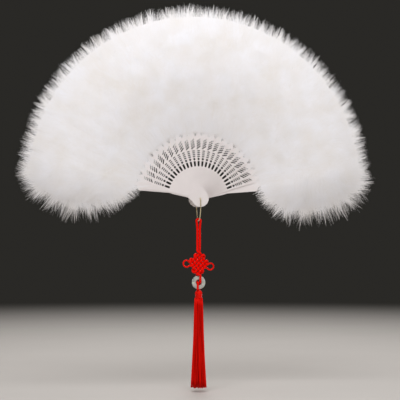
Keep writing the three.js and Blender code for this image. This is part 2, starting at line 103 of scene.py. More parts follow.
# Dense down: how square its section is, how its faces crown, how it thins out and ends towards the sticks,
# and its lumps as turn, length and phase
CORE_FLATNESS = 2.6
CORE_CROWN = 0.45
INNER_FLATNESS = 1.5
INNER_EDGE = 0.12
INNER_ROUND = 0.04
LUMP_WAVES = ((0.4, 31 * MM, 0.3), (1.9, 24 * MM, 1.7), (2.8, 38 * MM, 4.1), (1.1, 19 * MM, 2.6))
LUMP_DEPTH = 0.2

# Shading of down as one soft surface: its lean outwards, what is left of that lean towards the sticks, and
# how much the face of a barb itself counts
FLUFF_LEAN = 0.95
INWARD_LEAN = 0.3
FLAT_SHARE = 0.42

# Where barbs of the soft edge end: tufts, the fewest locks of a run, the spread of a lock along the edge,
# how far its end and the ends of loose barbs stay back, how far the longest locks pass the rest and how
# rare they are, and the spread of the tips in a lock
TUFT_DEPTH = 3.5 * MM
FEWEST_LOCKS = 3
LOCK_SPREAD = 0.3 * MM
LOCK_STAGGER = 0.8
LOOSE_STAGGER = 1.1
LONG_LOCKS = 0.4
LONG_LOCK_POWER = 4
TIP_SPREAD = 1.5 * MM

# The same round the side of a lobe, which is softer from one share of its width to another
LOBE_SOFT_FROM = 0.3
LOBE_SOFT_TO = 0.95
LOBE_STAGGER = 1.65
LOBE_FADE = 0.55
LOBE_LOOSE = 0.6
LOBE_TIP_SPREAD = 2.5

# How barbs of the soft edge run: length, slow swings, lean, spread at the root and bow
EDGE_LENGTHS = (24 * MM, 42 * MM)
SWAY_WAVES = (8 * MM, 40 * MM)
SWAY_COUNT = 5
EDGE_SWAY = 0.5
LOCK_LEAN = 0.1
BARB_LEAN = 0.06
ROOT_SPREAD = 1.1 * MM
EDGE_BOW = 0.03

# How far they lie off the middle, mostly as shares of the dense down's depth
LOCK_DEPTH = 0.4
TIP_DEPTH = 0.8 * MM
ROOT_DEPTH = 0.75
ROOT_DEPTH_LIMIT = 1.1
MIDDLE_FROM_ROOT = 0.7
MIDDLE_FROM_TIP = 0.4

# Loose down on the dense down: how much more of it a lobe has, how far it passes the blade's sector, its
# length, scatter, curl and lift, where it turns inwards, and how it shortens at the rim
LOBE_FILL = 4
FILL_OVERLAP = 0.55
FILL_LENGTHS = (10 * MM, 26 * MM)
FILL_SCATTER = 0.7
FILL_CURL = 0.16
FILL_LIFT = 0.5
FILL_LIFT_LIMIT = 1.2
FILL_ARCH = (0.3, 0.9)
FILL_INWARDS = -0.55
FILL_OUTWARDS = 0.35
RIM_SHORTENING = 0.35
RIM_POWER = 4

# Barbs on the sides of a plume: how square their outline is towards the sticks, their rise, where their
# root and middle lie, and how far they lie off the middle
SIDE_FOOT_POWER = 2
SIDE_RISES = (0.5, 1.1)
SIDE_ROOT = 0.1
SIDE_MIDDLE = 0.65
SIDE_MIDDLE_RISE = 0.4
SIDE_DEPTH = 0.2
SIDE_DEPTH_LIMIT = 0.4
SIDE_DEPTH_PARTS = (0.4, 0.8, 1.0)

# Every barb: its width at the root, where it is full, its taper and tip, and its range of widths, twist,
# low ridge and tone, which locks share
BARB_ROOT = 0.5
BARB_FULL = 0.3
BARB_TAPER = 1.5
BARB_TIP = 0.05 * MM
BARB_WIDTHS = (0.7, 1.3)
BARB_TWIST = 0.7
BARB_RIDGE = 0.5
BARB_TONE = 0.12
LOCK_TONE = 0.15

# Bail, as in the part
WIRE_RADIUS = 0.7 * MM
BAIL_DROP = 31.4 * MM
BAIL_FACE = 16.6 * MM
BAIL_BEND = 2 * MM
LEG_END = 12.3 * MM
WIRE_END = 0.3 * MM

# Pendant, as in the part, with the cord swollen in the knot and drawn thin in its ears
CORD_RADIUS = 1.55 * MM
KNOT_CORD_RADIUS = 1.7 * MM
EAR_CORD_RADIUS = 1.1 * MM
STRAND_OFFSET = 1.775 * MM
LOOP_RADIUS = 2.9 * MM
HANG_LENGTH = 44.8 * MM
PART_SHARE = 0.8
KNOT_LINES = 5
KNOT_PITCH = 4.1 * MM
KNOT_STRETCH = 1.28
KNOT_TURN_REACH = 0.9 * MM
WEAVE_DEPTH = 4.1 * MM
EAR_RADIUS = 4.6 * MM
EAR_START_DEGREES = 140
EAR_SWEEP_DEGREES = 285
KNOT_TILT = math.radians(7)
KNOT_SIDE = (KNOT_LINES - 1) * KNOT_PITCH
KNOT_HALF_DIAGONAL = KNOT_SIDE * math.sqrt(0.5)
KNOT_HALF_HEIGHT = KNOT_HALF_DIAGONAL * KNOT_STRETCH
KNOT_CENTRE_Z = -BAIL_DROP - HANG_LENGTH - KNOT_HALF_HEIGHT
DISC_RADIUS = 9.5 * MM
DISC_HOLE_RADIUS = 3.9 * MM
DISC_HALF_THICKNESS = 2 * MM
DISC_GAP = 2 * MM
DISC_CENTRE_Z = KNOT_CENTRE_Z - KNOT_HALF_HEIGHT - DISC_GAP - DISC_RADIUS
SEAT_GAP = 0.3 * MM
BALL_RADIUS = 5 * MM
HEAD_NECK = 6 * MM
BALL_CENTRE_Z = DISC_CENTRE_Z - DISC_RADIUS - 3 * SEAT_GAP - BALL_RADIUS
SKIRT_TOP_Z = BALL_CENTRE_Z - HEAD_NECK - SEAT_GAP
SKIRT_LENGTH = 125 * MM
SKIRT_TOP_RADIUS = 5.6 * MM
SKIRT_WAIST_RADIUS = 6.3 * MM
SKIRT_HEM_RADIUS = 11.4 * MM

# Every strand of down or silk takes one of these columns of its texture
COLUMNS = 64
STRAND_MAP = "OFBake"
LAY_MAP = "Lay"

# Finishes that two materials share
DOWN_FINISH = {"Sheen_Weight": 0.2, "Sheen_Roughness": 0.4, "Specular_IOR_Level": 0.1}
RED_TINT = (1.0, 0.12, 0.08, 1.0)

# Stage: each lamp's size, place and colour, what the lamps face, the camera's sensor in millimetres, the
# floor's radius, and where the floor passes into the backdrop
LAMPS = {
    "key": (1.8, (-0.4, -1.6, 2.0), (0.96, 0.97, 1.0)),
    "side": (1.4, (2.0, -1.2, 0.9), (0.97, 0.98, 1.0)),
    "back": (1.8, (0.5, 2.2, 0.7), (1.0, 0.985, 0.97)),
}
LAMP_TARGET = (0, 0, 0.06)
SENSOR_WIDTH = 36
FLOOR_RADIUS = 3.0
FLOOR_FADE_FROM = 0.5
FLOOR_FADE_TO = 2.4


# Shapes


def unit(vectors):
    """The same vectors, one metre long."""
    return vectors / np.maximum(np.linalg.norm(vectors, axis=-1, keepdims=True), 1e-12)


def outwards(turns):
    """Directions out from the pivot, at turns to the right of upright."""
    return np.stack([np.sin(turns), np.zeros_like(turns), np.cos(turns)], axis=-1)


def signed_power(values, power):
    """Values raised to a power with their signs kept."""
    return np.sign(values) * np.abs(values) ** power


def smoothstep(low, high, values):
    """0 below low, 1 above high and a soft step between them."""
    share = np.clip((values - low) / (high - low), 0, 1)
    return share * share * (3 - 2 * share)


def smooth_line(points, steps):
    """A smooth line through points, with this many steps from each to the next."""
    points = np.asarray(points, float)
    first = 2 * points[0] - points[1]
    last = 2 * points[-1] - points[-2]
    padded = np.vstack([first, points, last])
    t = np.linspace(0, 1, steps, endpoint=False)[:, None]
    runs = []
    for i in range(1, len(padded) - 2):
        a, b, c, d = padded[i - 1 : i + 3]
        bend = (2 * a - 5 * b + 4 * c - d) * t**2 + (-a + 3 * b - 3 * c + d) * t**3
        runs.append((2 * b + (c - a) * t + bend) / 2)
    return np.vstack([*runs, points[-1:]])


def line_lengths(line):
    """How far along a line each of its points lies."""
    steps = np.linalg.norm(np.diff(line, axis=0), axis=1)
    return np.concatenate([[0], np.cumsum(steps)])


def tube_rings(line, radii, sides):
    """Rings of a round tube along a line, carried from point to point without twist."""
    nearly_straight_back = 0.9
    tangents = unit(np.gradient(line, axis=0))
    turns = np.linspace(0, 2 * math.pi, sides, endpoint=False)
    side = BACK if abs(tangents[0, 1]) < nearly_straight_back else RIGHT
    rings = []
    for point, along, radius in zip(line, tangents, radii):
        side = unit(side - along * side.dot(along))
        across = np.cross(along, side)
        spokes = np.outer(np.cos(turns), side) + np.outer(np.sin(turns), across)
        rings.append(point + radius * spokes)
    return np.array(rings)


def lay_map(line, sides, unit_length):
    """Texture places on a tube: once round it, and along it in units of a length."""
    along = line_lengths(line) / unit_length
    around = np.linspace(0, 1, sides + 1)
    return np.stack(np.meshgrid(around, along), axis=-1)


def even_map(sides, rows):
    """Texture places on rings: once round them, and once along all their rows."""
    around = np.linspace(0, 1, sides + 1)
    along = np.linspace(0, 1, rows)
    return np.stack(np.meshgrid(around, along), axis=-1)


def strand_rings(lines, widths, rise, faces):
    """Rings of three points along many strands: two edges, and a low ridge on the side away from faces,
    which rises a share of half the width."""
    tangents = unit(np.gradient(lines, axis=1))
    across = unit(np.cross(tangents, faces))
    ridge = np.cross(tangents, across)
    half = widths[..., None] / 2
    sides = [lines + across * half, lines + ridge * half * rise, lines - across * half]
    return np.stack(sides, axis=2)


def strand_map(columns, count):
    """Texture places on strands: each inside its own column, from the root near the bottom to the tip near
    the top."""
    column_sides = (0.1, 0.9)
    column_ends = (0.02, 0.98)
    sides = np.linspace(*column_sides, 4)
    across = (columns[:, None] + sides[None, :]) / COLUMNS
    along = np.linspace(*column_ends, count)
    shape = (len(columns), count, len(sides))
    parts = [across[:, None, :], along[None, :, None]]
    return np.stack([np.broadcast_to(part, shape) for part in parts], axis=-1)


def fluff_normals(points, faces):
    """Shading directions at the corners of faces of down, which scatters light as one soft surface:
    forwards or backwards, as the face looks, and outwards near the edge."""
    corners = points[faces]
    flat = unit(np.cross(corners[:, 2] - corners[:, 0], corners[:, -1] - corners[:, 1]))[:, None]
    limit = MIDDLE * PITCH
    out = outwards(np.clip(np.arctan2(corners[..., 0], corners[..., 2]), -limit, limit))
    lean = (corners - PLUME_CENTRE * out) * np.array([1, 0, 1]) / (PLUME_REACH - PLUME_CENTRE)
    inwards = np.minimum((lean * out).sum(axis=2, keepdims=True), 0)
    lean -= (1 - INWARD_LEAN) * inwards * out
    wanted = FLUFF_LEAN * lean + BACK * np.where(flat[..., 1:2] < 0, -1.0, 1.0)
    side = np.where((wanted * flat).sum(axis=2, keepdims=True) < 0, -1.0, 1.0)
    return unit(unit(wanted) * side + FLAT_SHARE * flat).reshape(-1, 3)


def skin(name, rings, places, map_name, material, closed=False, fluffy=False):
    """A piece made of tubes. rings are the points of each tube, ring by ring, turning anticlockwise about
    the run, and places are their texture places, with one more to a ring. A closed run has no ends. A
    fluffy piece is shaded as down."""
    tubes, count, sides = rings.shape[:3]
    points = rings.reshape(-1, 3)
    index = np.arange(len(points)).reshape(tubes, count, sides)
    index = np.concatenate([index, index[:, :, :1]], axis=2)
    if closed:
        index = np.concatenate([index, index[:, :1]], axis=1)

    def corners(grid):
        around = [grid[:, :-1, :-1], grid[:, :-1, 1:], grid[:, 1:, 1:], grid[:, 1:, :-1]]
        return np.stack(around, axis=3)

    quads = corners(index).reshape(-1, 4)
    quad_places = corners(places).reshape(-1, 4, 2)
    caps = []
    cap_places = []
    cap_step = np.array([0, 0.01])
    for k in range(1, 0 if closed else sides - 1):
        for ring, order in ((0, (0, k + 1, k)), (-1, (0, k, k + 1))):
            caps.append(np.stack([index[:, ring, i] for i in order], axis=-1))
            found = np.stack([places[:, ring, i] for i in order], axis=-2)
            found[:, 1] += cap_step if ring == 0 else -cap_step
            cap_places.append(found)

    loops = np.concatenate([quads.ravel(), *[cap.ravel() for cap in caps]])
    cap_count = sum(len(cap) for cap in caps)
    sizes = np.concatenate([np.full(len(quads), 4), np.full(cap_count, 3)])
    starts = np.concatenate([[0], np.cumsum(sizes)[:-1]])
    flat_places = np.concatenate([quad_places.ravel(), *[found.ravel() for found in cap_places]])

    mesh = bpy.data.meshes.new(name)
    mesh.vertices.add(len(points))
    mesh.vertices.foreach_set("co", points.ravel().astype(np.float32))
    mesh.loops.add(len(loops))
    mesh.loops.foreach_set("vertex_index", loops.astype(np.int32))
    mesh.polygons.add(len(sizes))
    mesh.polygons.foreach_set("loop_start", starts.astype(np.int32))
    mesh.update(calc_edges=True)
    mesh.polygons.foreach_set("use_smooth", np.ones(len(sizes), bool))
    layer = mesh.uv_layers.new(name=map_name)
    layer.data.foreach_set("uv", flat_places.astype(np.float32))
    mesh.validate()
    if fluffy:
        normals = [fluff_normals(points, group) for group in (quads, *caps)]
        mesh.normals_split_custom_set(np.concatenate(normals))
    mesh.materials.append(material)
    piece = bpy.data.objects.new(name, mesh)
    bpy.context.scene.collection.objects.link(piece)
    return piece


# Materials


def add_node(tree, kind, inputs=None, **settings):
    """A new node with its settings, and its inputs set to values or linked to sockets."""
    node = tree.nodes.new(kind)
    for key, value in settings.items():
        setattr(node, key, value)
    for key, value in (inputs or {}).items():
        if isinstance(value, bpy.types.NodeSocket):
            tree.links.new(value, node.inputs[key])
        else:
            node.inputs[key].default_value = value
    return node


def calc(tree, operation, *values):
    """The result of a sum on sockets or numbers."""
    return add_node(tree, "ShaderNodeMath", dict(enumerate(values)), operation=operation).outputs[0]


def wave(tree, value, rate):
    """The sine of a value times a rate."""
    return calc(tree, "SINE", calc(tree, "MULTIPLY", value, rate))


def noise(tree, scale, detail, distortion=0.0, place=None):
    """Cloudy noise from 0 to 1, in a piece's own space unless a place is given."""
    if place is None:
        place = add_node(tree, "ShaderNodeTexCoord").outputs["Object"]
    inputs = {"Vector": place, "Scale": scale, "Detail": detail, "Distortion": distortion}
    return add_node(tree, "ShaderNodeTexNoise", inputs).outputs["Fac"]


def ramp(tree, factor, stops):
    """Colours run from stop to stop as the factor rises."""
    node = add_node(tree, "ShaderNodeValToRGB", {"Fac": factor})
    elements = node.color_ramp.elements
    while len(elements) < len(stops):
        elements.new(0.5)
    for element, (place, colour) in zip(elements, stops):
        element.position = place
        element.color = (*colour, 1)
    return node.outputs["Color"]


def spread(tree, value, low, high):
    """A value from 0 to 1 drawn out between two numbers."""
    return add_node(tree, "ShaderNodeMapRange", {"Value": value, "To Min": low, "To Max": high}).outputs[0]


def shade(colour, share):
    """A darker or lighter tone of a colour."""
    return [min(1.0, part * share) for part in colour]


def new_material(name, **values):
    """A material with a Principled shader, its node tree and that shader."""
    material = bpy.data.materials.new(name)
    material.use_nodes = True
    tree = material.node_tree
    shader = tree.nodes["Principled BSDF"]
    for key, value in values.items():
        shader.inputs[key.replace("_", " ")].default_value = value
    return material, tree, shader


def paint(tree, shader, factor, stops):
    """Gives a shader colours that run from stop to stop as the factor rises."""
    tree.links.new(ramp(tree, factor, stops), shader.inputs["Base Color"])


def roughen(tree, shader, value, low, high):
    """Gives a shader a roughness that varies between two numbers."""
    tree.links.new(spread(tree, value, low, high), shader.inputs["Roughness"])


def add_bump(tree, shader, height, strength, distance):
    """Relief on a shader from a height."""
    inputs = {"Height": height, "Strength": strength, "Distance": distance}
    bump = add_node(tree, "ShaderNodeBump", inputs)
    tree.links.new(bump.outputs["Normal"], shader.inputs["Normal"])


def map_parts(tree, map_name):
    """The two sides of a texture map."""
    places = add_node(tree, "ShaderNodeUVMap", uv_map=map_name)
    parts = add_node(tree, "ShaderNodeSeparateXYZ", {0: places.outputs["UV"]})
    return parts.outputs["X"], parts.outputs["Y"]


def strand_tone(tree, across):
    """A number from 0 to 1 that each column of strands has as its own."""
    column = calc(tree, "FLOOR", calc(tree, "MULTIPLY", across, float(COLUMNS)))
    chance = add_node(tree, "ShaderNodeTexWhiteNoise", {"W": column}, noise_dimensions="1D")
    return chance.outputs["Value"]


def toned(tree, colour, tone, low):
    """A colour made darker, down to a share of itself, where the tone is low."""
    level = spread(tree, tone, low, 1.0)
    grey = add_node(tree, "ShaderNodeCombineColor", {"Red": level, "Green": level, "Blue": level})
    mix = add_node(tree, "ShaderNodeMix", {"Factor": 1.0}, data_type="RGBA", blend_type="MULTIPLY")
    tree.links.new(colour, mix.inputs["A"])
    tree.links.new(grey.outputs["Color"], mix.inputs["B"])
    return mix.outputs["Result"]


def down_material(looks):
    """White marabou: matt, warmer or cooler by column, with fine barbules across every barb."""
    material, tree, shader = new_material("marabou_down", Roughness=0.85, **DOWN_FINISH)
    across, along = map_parts(tree, STRAND_MAP)
    paint(tree, shader, across, [(0.0, looks.warm_colour), (1.0, looks.cool_colour)])
    add_bump(tree, shader, wave(tree, along, rate=260.0), strength=0.25, distance=0.1 * MM)
    return material


def core_material(looks):
    """The dense down under the loose barbs: cloudy tone and a fine tangle of fibres."""
    material, tree, shader = new_material("dense_down", Roughness=0.9, **DOWN_FINISH)
    cloud = noise(tree, scale=34.0, detail=5.0)
    tangle = noise(tree, scale=700.0, detail=4.0, distortion=2.0)
    paint(tree, shader, cloud, [(0.35, looks.warm_colour), (0.65, looks.cool_colour)])
    add_bump(tree, shader, tangle, strength=0.3, distance=0.6 * MM)
    return material


def plastic_material(looks):
    """Moulded white plastic: faint cloudy tone, a soft gloss that varies, and a fine mould grain."""
    material, tree, shader = new_material(
        "stick_plastic", Coat_Weight=0.12, Coat_Roughness=0.25, Specular_IOR_Level=0.45
    )
    cloud = noise(tree, scale=45.0, detail=4.0)
    flow = noise(tree, scale=260.0, detail=3.0)
    grain = noise(tree, scale=2600.0, detail=2.0)
    colour = looks.plastic_colour
    paint(tree, shader, cloud, [(0.3, shade(colour, 0.94)), (0.7, colour)])
    roughen(tree, shader, flow, low=0.24, high=0.46)
    add_bump(tree, shader, grain, strength=0.12, distance=0.1 * MM)
    return material


def ribbon_material(looks):
    """Narrow satin ribbon with its weave across and along, and painted shade where the weave dips."""
    material, tree, shader = new_material("satin_ribbon", Sheen_Weight=0.3, Roughness=0.45)
    across, along = map_parts(tree, LAY_MAP)
    warp = wave(tree, across, rate=160.0)
    weft = wave(tree, along, rate=90.0)
    weave = calc(tree, "MULTIPLY", warp, weft)
    level = calc(tree, "MULTIPLY_ADD", weave, 0.5, 0.5)
    colour = looks.plastic_colour
    # Painted shade darkens the ribbon where its weave dips
    paint(tree, shader, level, [(0.0, shade(colour, 0.86)), (1.0, colour)])
    add_bump(tree, shader, weave, strength=0.3, distance=0.05 * MM)
    return material


def brass_material(looks):
    """Drawn brass wire: fine drawing lines along it and tarnish in patches."""
    material, tree, shader = new_material("brass_wire", Metallic=0.8)
    line_rate = 40.0
    around, _ = map_parts(tree, LAY_MAP)
    line_place = calc(tree, "MULTIPLY", around, line_rate)
    lines = add_node(tree, "ShaderNodeTexNoise", {"W": line_place}, noise_dimensions="1D")
    patches = noise(tree, scale=320.0, detail=5.0)
    colour = looks.wire_colour
    paint(tree, shader, patches, [(0.35, shade(colour, 0.74)), (0.6, colour)])
    roughen(tree, shader, patches, low=0.52, high=0.3)
    add_bump(tree, shader, lines.outputs["Fac"], strength=0.15, distance=0.05 * MM)
    return material


def cord_material(looks):
    """Round braided cord: two sets of yarns that cross over each other, with a soft gloss, painted shade in
    the grooves between the yarns and a painted highlight on their crowns.
    """
    material, tree, shader = new_material(
        "braided_cord", Roughness=0.55, Specular_IOR_Level=0.2, Specular_Tint=RED_TINT
    )
    yarn_count = 5
    yarn_rise = 2.2
    around, along = map_parts(tree, LAY_MAP)
    turns = calc(tree, "MULTIPLY", around, 2 * math.pi * yarn_count)
    rise = calc(tree, "MULTIPLY", along, 2 * math.pi * yarn_rise)
    right = calc(tree, "SINE", calc(tree, "ADD", turns, rise))
    left = calc(tree, "SINE", calc(tree, "SUBTRACT", turns, rise))
    height = calc(tree, "MULTIPLY_ADD", calc(tree, "MAXIMUM", right, left), 0.5, 0.5)
    colour = looks.cord_colour
    # Painted shade darkens the grooves between the yarns and a painted highlight lightens their crowns
    paint(tree, shader, height, [(0.1, shade(colour, 0.6)), (0.6, colour), (1.0, shade(colour, 1.08))])
    add_bump(tree, shader, height, strength=0.5, distance=0.25 * MM)
    return material


def stone_material(looks):
    """Polished pale stone: cloudy tone, thin darker veins and a soft gloss."""
    material, tree, shader = new_material(
        "pale_stone", Subsurface_Weight=0.15, Subsurface_Scale=0.002, Specular_IOR_Level=0.5
    )
    cloud = noise(tree, scale=140.0, detail=6.0)
    vein = noise(tree, scale=90.0, detail=8.0, distortion=1.4)
    sharpness = 30.0
    line = calc(tree, "ABSOLUTE", calc(tree, "SUBTRACT", vein, 0.5))
    clear = spread(tree, calc(tree, "MULTIPLY", line, sharpness), low=0.0, high=1.0)
    colour = looks.stone_colour
    tones = ramp(tree, cloud, [(0.3, shade(colour, 0.72)), (0.5, colour), (0.72, shade(colour, 1.2))])
    tree.links.new(toned(tree, tones, clear, low=0.62), shader.inputs["Base Color"])
    roughen(tree, shader, cloud, low=0.18, high=0.36)
    add_bump(tree, shader, cloud, strength=0.08, distance=0.2 * MM)
    return material


def silk_material(looks):
    """Red floss: every thread has its own depth of red and a twist along it."""
    material, tree, shader = new_material(
        "red_silk", Roughness=0.36, Specular_IOR_Level=0.5, Specular_Tint=RED_TINT
    )
    rate_across = 400.0
    rate_along = 500.0
    across, along = map_parts(tree, STRAND_MAP)
    tone = strand_tone(tree, across)
    colour = looks.silk_colour
    paint(tree, shader, tone, [(0.0, shade(colour, 0.62)), (0.5, colour), (1.0, shade(colour, 1.1))])
    twist = calc(tree, "MULTIPLY_ADD", across, rate_across, calc(tree, "MULTIPLY", along, rate_along))
    add_bump(tree, shader, calc(tree, "SINE", twist), strength=0.3, distance=0.1 * MM)
    return material


# Blades


def blade_label(blade):
    """The number that a blade's nodes and body carry."""
    return f"{blade + 1:02d}"


def blade_body(blade):
    """The CAD body of a blade."""
    return f"blade_{blade_label(blade)}"


def dress_sticks(looks):
    """Gives the sticks and the guards their plastic."""
    plastic = plastic_material(looks)
    for name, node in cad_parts.items():
        if name.startswith("stick_") or name.endswith("_guard"):
            node.data.materials.clear()
            node.data.materials.append(plastic)


def ribbon_layer(step):
    """How far back the ribbon lies at a step of the stack: behind each stick, and inside the last guard."""
    last = MIDDLE - 1
    behind = min(step, last) * STICK_STEP + RIBBON_BEHIND
    beyond = max(0.0, step - last)
    return behind + (RIBBON_GUARD_PLACE - behind) * beyond


def lay_ribbon(looks):
    """One length of ribbon from each blade to its neighbour nearer the middle."""
    satin = ribbon_material(looks)
    line_points = 9
    shares = np.linspace(0, 1, line_points)
    corners = [(1, 1), (-1, 1), (-1, -1), (1, -1)]
    for blade in range(BLADE_COUNT):
        if blade == MIDDLE:
            continue
        inwards = 1 if blade < MIDDLE else -1
        steps = blade - MIDDLE + inwards * shares
        layers = np.array([ribbon_layer(step) for step in steps]) + RIBBON_SLACK * np.sin(math.pi * shares)
        out = outwards(steps * PITCH)
        line = RIBBON_REACH * out + layers[:, None] * BACK
        flat = unit(np.cross(np.gradient(line, axis=0), out))
        edges = [line + out * RIBBON_HALF_WIDTH * w + flat * RIBBON_HALF_THICKNESS * t for w, t in corners]
        rings = np.stack(edges, axis=1)
        places = lay_map(line, len(corners), RIBBON_REACH * PITCH)
        name = f"ribbon_{blade_label(blade)}"
        piece = skin(name, rings[None], places[None], LAY_MAP, satin)
        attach(piece, blade_body(blade))
        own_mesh(piece)
    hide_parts("spread_ribbon")


# Plumes


def plume_reach(blade):
    """How far a plume reaches from the pivot: a little less towards the guards."""
    spread_share = abs(blade - MIDDLE) / MIDDLE
    return PLUME_REACH + (SIDE_PLUME_REACH - PLUME_REACH) * spread_share**2


def lobe_side(blade):
    """-1 at the left guard and 1 at the right one, where down spreads past the last blade, and else 0."""
    return int(blade == BLADE_COUNT - 1) - int(blade == 0)


def fluff_frame(blade, offsets, sides):
    """Where down grows: its middle place, and the directions outwards and across, at offsets from a blade
    in blades and, past the last blades, at distances to its side."""
    steps = blade - MIDDLE + offsets
    turns = steps * PITCH
    across = np.stack([np.cos(turns), np.zeros_like(turns), -np.sin(turns)], axis=-1)
    back = steps * GUARD_PLACE / MIDDLE - sides * math.sin(PLUME_TILT)
    return across * sides[..., None] + BACK * back[..., None], outwards(turns), across


def lobe_width(looks, end):
    """How far a lobe spreads past its blade."""
    return looks.left_lobe_width if end < 0 else looks.right_lobe_width


def lobe_powers(end, upper):
    """How square a lobe is, towards the tip or towards the sticks."""
    return np.where(upper, LOBE_TIP_POWERS[end], LOBE_FOOT_POWERS[end])


def lobe_shape(end, side_share, upper):
    """How far a lobe reaches along its blade at a share of its width, as a share of the most."""
    power = lobe_powers(end, upper)
    return np.clip(1 - side_share**power, 0, 1) ** (1 / power)


def lobe_rim(places, looks, end, reach):
    """Places on the rim of a lobe, sideways and along its blade, the directions straight out from it, at
    shares of its length from the inner end to the tip, and that length."""
    rim_points = 181
    turns = np.linspace(-math.pi / 2, math.pi / 2, rim_points)
    upper = turns >= 0
    power = lobe_powers(end, upper)
    width = lobe_width(looks, end)
    height = np.where(upper, reach - PLUME_CENTRE, PLUME_CENTRE - looks.inner_end)
    side_share = np.cos(turns) ** (2 / power)
    along_share = signed_power(np.sin(turns), 2 / power)
    out_side = side_share ** (power - 1) / width
    out_along = signed_power(along_share, power - 1) / height
    rim = np.stack([width * side_share, PLUME_CENTRE + height * along_share], axis=1)
    normal = unit(np.stack([out_side, out_along], axis=1))
    lengths = line_lengths(rim)
    both = np.concatenate([rim, normal], axis=1)
    found = np.stack([np.interp(places * lengths[-1], lengths, part) for part in both.T], axis=1)
    return found[:, :2], unit(found[:, 2:]), lengths[-1]


def core_level(shares):
    """The thickness of the dense down, as a share of the most: full in its middle at 0, rounded off towards
    its outer edge at 1, and thinned out more slowly towards the sticks at -1."""
    outer = np.clip(1 - np.abs(shares) ** CORE_FLATNESS, 0, 1) ** CORE_CROWN
    inner = INNER_EDGE + (1 - INNER_EDGE) * np.clip(1 - np.abs(shares) ** INNER_FLATNESS, 0, 1)
    rounding = np.sqrt(np.clip((1 + shares) / INNER_ROUND, 0, 1))
    return np.where(shares >= 0, outer, inner * rounding)


def core_heights(looks, blade):
    """How far the dense down reaches from its middle line outwards and inwards."""
    outer = plume_reach(blade) - looks.core_inset - PLUME_CENTRE
    return outer, PLUME_CENTRE - looks.inner_end - looks.core_inset / 2


def fluff_lumps(x, z):
    """Gentle lumps in the dense down, the same for all blades, so that neighbours meet."""
    lumps = np.zeros_like(x)
    for turn, length, phase in LUMP_WAVES:
        lumps += np.sin(2 * math.pi * (x * math.cos(turn) + z * math.sin(turn)) / length + phase)
    return lumps / len(LUMP_WAVES)


def core_rings(looks, blade):
    """The dense down of a blade as rings round it, from left to right: its sector of the fan, and a lobe
    past the last blades."""
    sides_count = 40
    sector_count = 5
    lobe_count = 13
    end = lobe_side(blade)
    offsets = np.linspace(-0.5 if end >= 0 else 0, 0.5 if end <= 0 else 0, sector_count)
    sides = np.zeros(sector_count)
    width = lobe_width(looks, end) - looks.lobe_inset
    lobe_turns = np.linspace(0, LOBE_LAST_TURN, lobe_count + 1)[1:]
    lobe_sides = end * width * np.sin(lobe_turns) ** (2 / CORE_FLATNESS)
    at_guard = np.zeros(lobe_count)
    if end < 0:
        sides = np.concatenate([lobe_sides[::-1], sides])
        offsets = np.concatenate([at_guard, offsets])
    elif end > 0:
        sides = np.concatenate([sides, lobe_sides])
        offsets = np.concatenate([offsets, at_guard])
    origin, out, _ = fluff_frame(blade, offsets, sides)
    side_share = np.abs(sides / width)[:, None]
    turns = np.linspace(0, 2 * math.pi, sides_count, endpoint=False)
    cos, sin = np.cos(turns), np.sin(turns)
    outer, inner = core_heights(looks, blade)
    share = signed_power(sin, 2 / CORE_FLATNESS)
    along = PLUME_CENTRE + np.where(sin >= 0, outer, inner) * share * lobe_shape(end, side_share, sin >= 0)
    depth = looks.core_depth * (1 - side_share**CORE_FLATNESS) ** CORE_CROWN
    away = depth * np.sign(cos) * core_level(share)
    rings = origin[:, None] + out[:, None] * along[..., None]
    lumps = fluff_lumps(rings[..., 0], rings[..., 2])
    return rings + BACK * (away * (1 + LUMP_DEPTH * lumps))[..., None]


def sway(rng, places):
    """A smooth random swing between -1 and 1 at places along an edge."""
    waves = rng.uniform(*SWAY_WAVES, SWAY_COUNT)
    phases = rng.uniform(0, 2 * math.pi, SWAY_COUNT)
    return np.sin(2 * math.pi * places[:, None] / waves + phases).mean(axis=1)


def on_blade(blade, offsets, sides, flats, aways):
    """Places in the fan from places across and along a blade and distances off its middle, where down grows
    at offsets and sides."""
    origin, out, across = fluff_frame(blade, offsets, sides)
    places = []
    for flat, away in zip(flats, aways):
        beside = flat[:, :1] - sides[:, None]
        places.append(origin + across * beside + out * flat[:, 1:] + BACK * away[:, None])
    return places


def in_open_fan(blade, flat, away):
    """Places among the down of the open fan, from places across and along a blade and distances off its
    middle."""
    offsets = np.arctan2(flat[:, 0], flat[:, 1]) / PITCH
    origin, out, _ = fluff_frame(blade, offsets, np.zeros(len(flat)))
    return origin + out * np.linalg.norm(flat, axis=1, keepdims=True) + BACK * away[:, None]


def edge_run(looks, blade, run):
    """The length of a run of the edge, and a call that gives, for shares of the run, offsets from the blade
    and rim places and directions across and along it."""
    end = lobe_side(blade)
    reach = plume_reach(blade)
    if run == "lobe":

        def place_on_lobe(shares):
            rim, normal, _ = lobe_rim(shares, looks, end, reach)
            mirror = np.array([end, 1])
            return np.zeros(len(shares)), rim * mirror, normal * mirror

        return lobe_rim(np.zeros(1), looks, end, reach)[2], place_on_lobe

    outer = run == "outer"
    rim_reach = reach if outer else looks.inner_end
    first = 0 if end < 0 else -0.5
    width = 0.5 if end else 1

    def place_on_arc(shares):
        level = np.zeros(len(shares))
        rim = np.stack([level, level + rim_reach], axis=1)
        normal = np.stack([level, level + (1 if outer else -1)], axis=1)
        return first + width * shares, rim, normal

    return rim_reach * PITCH * width, place_on_arc


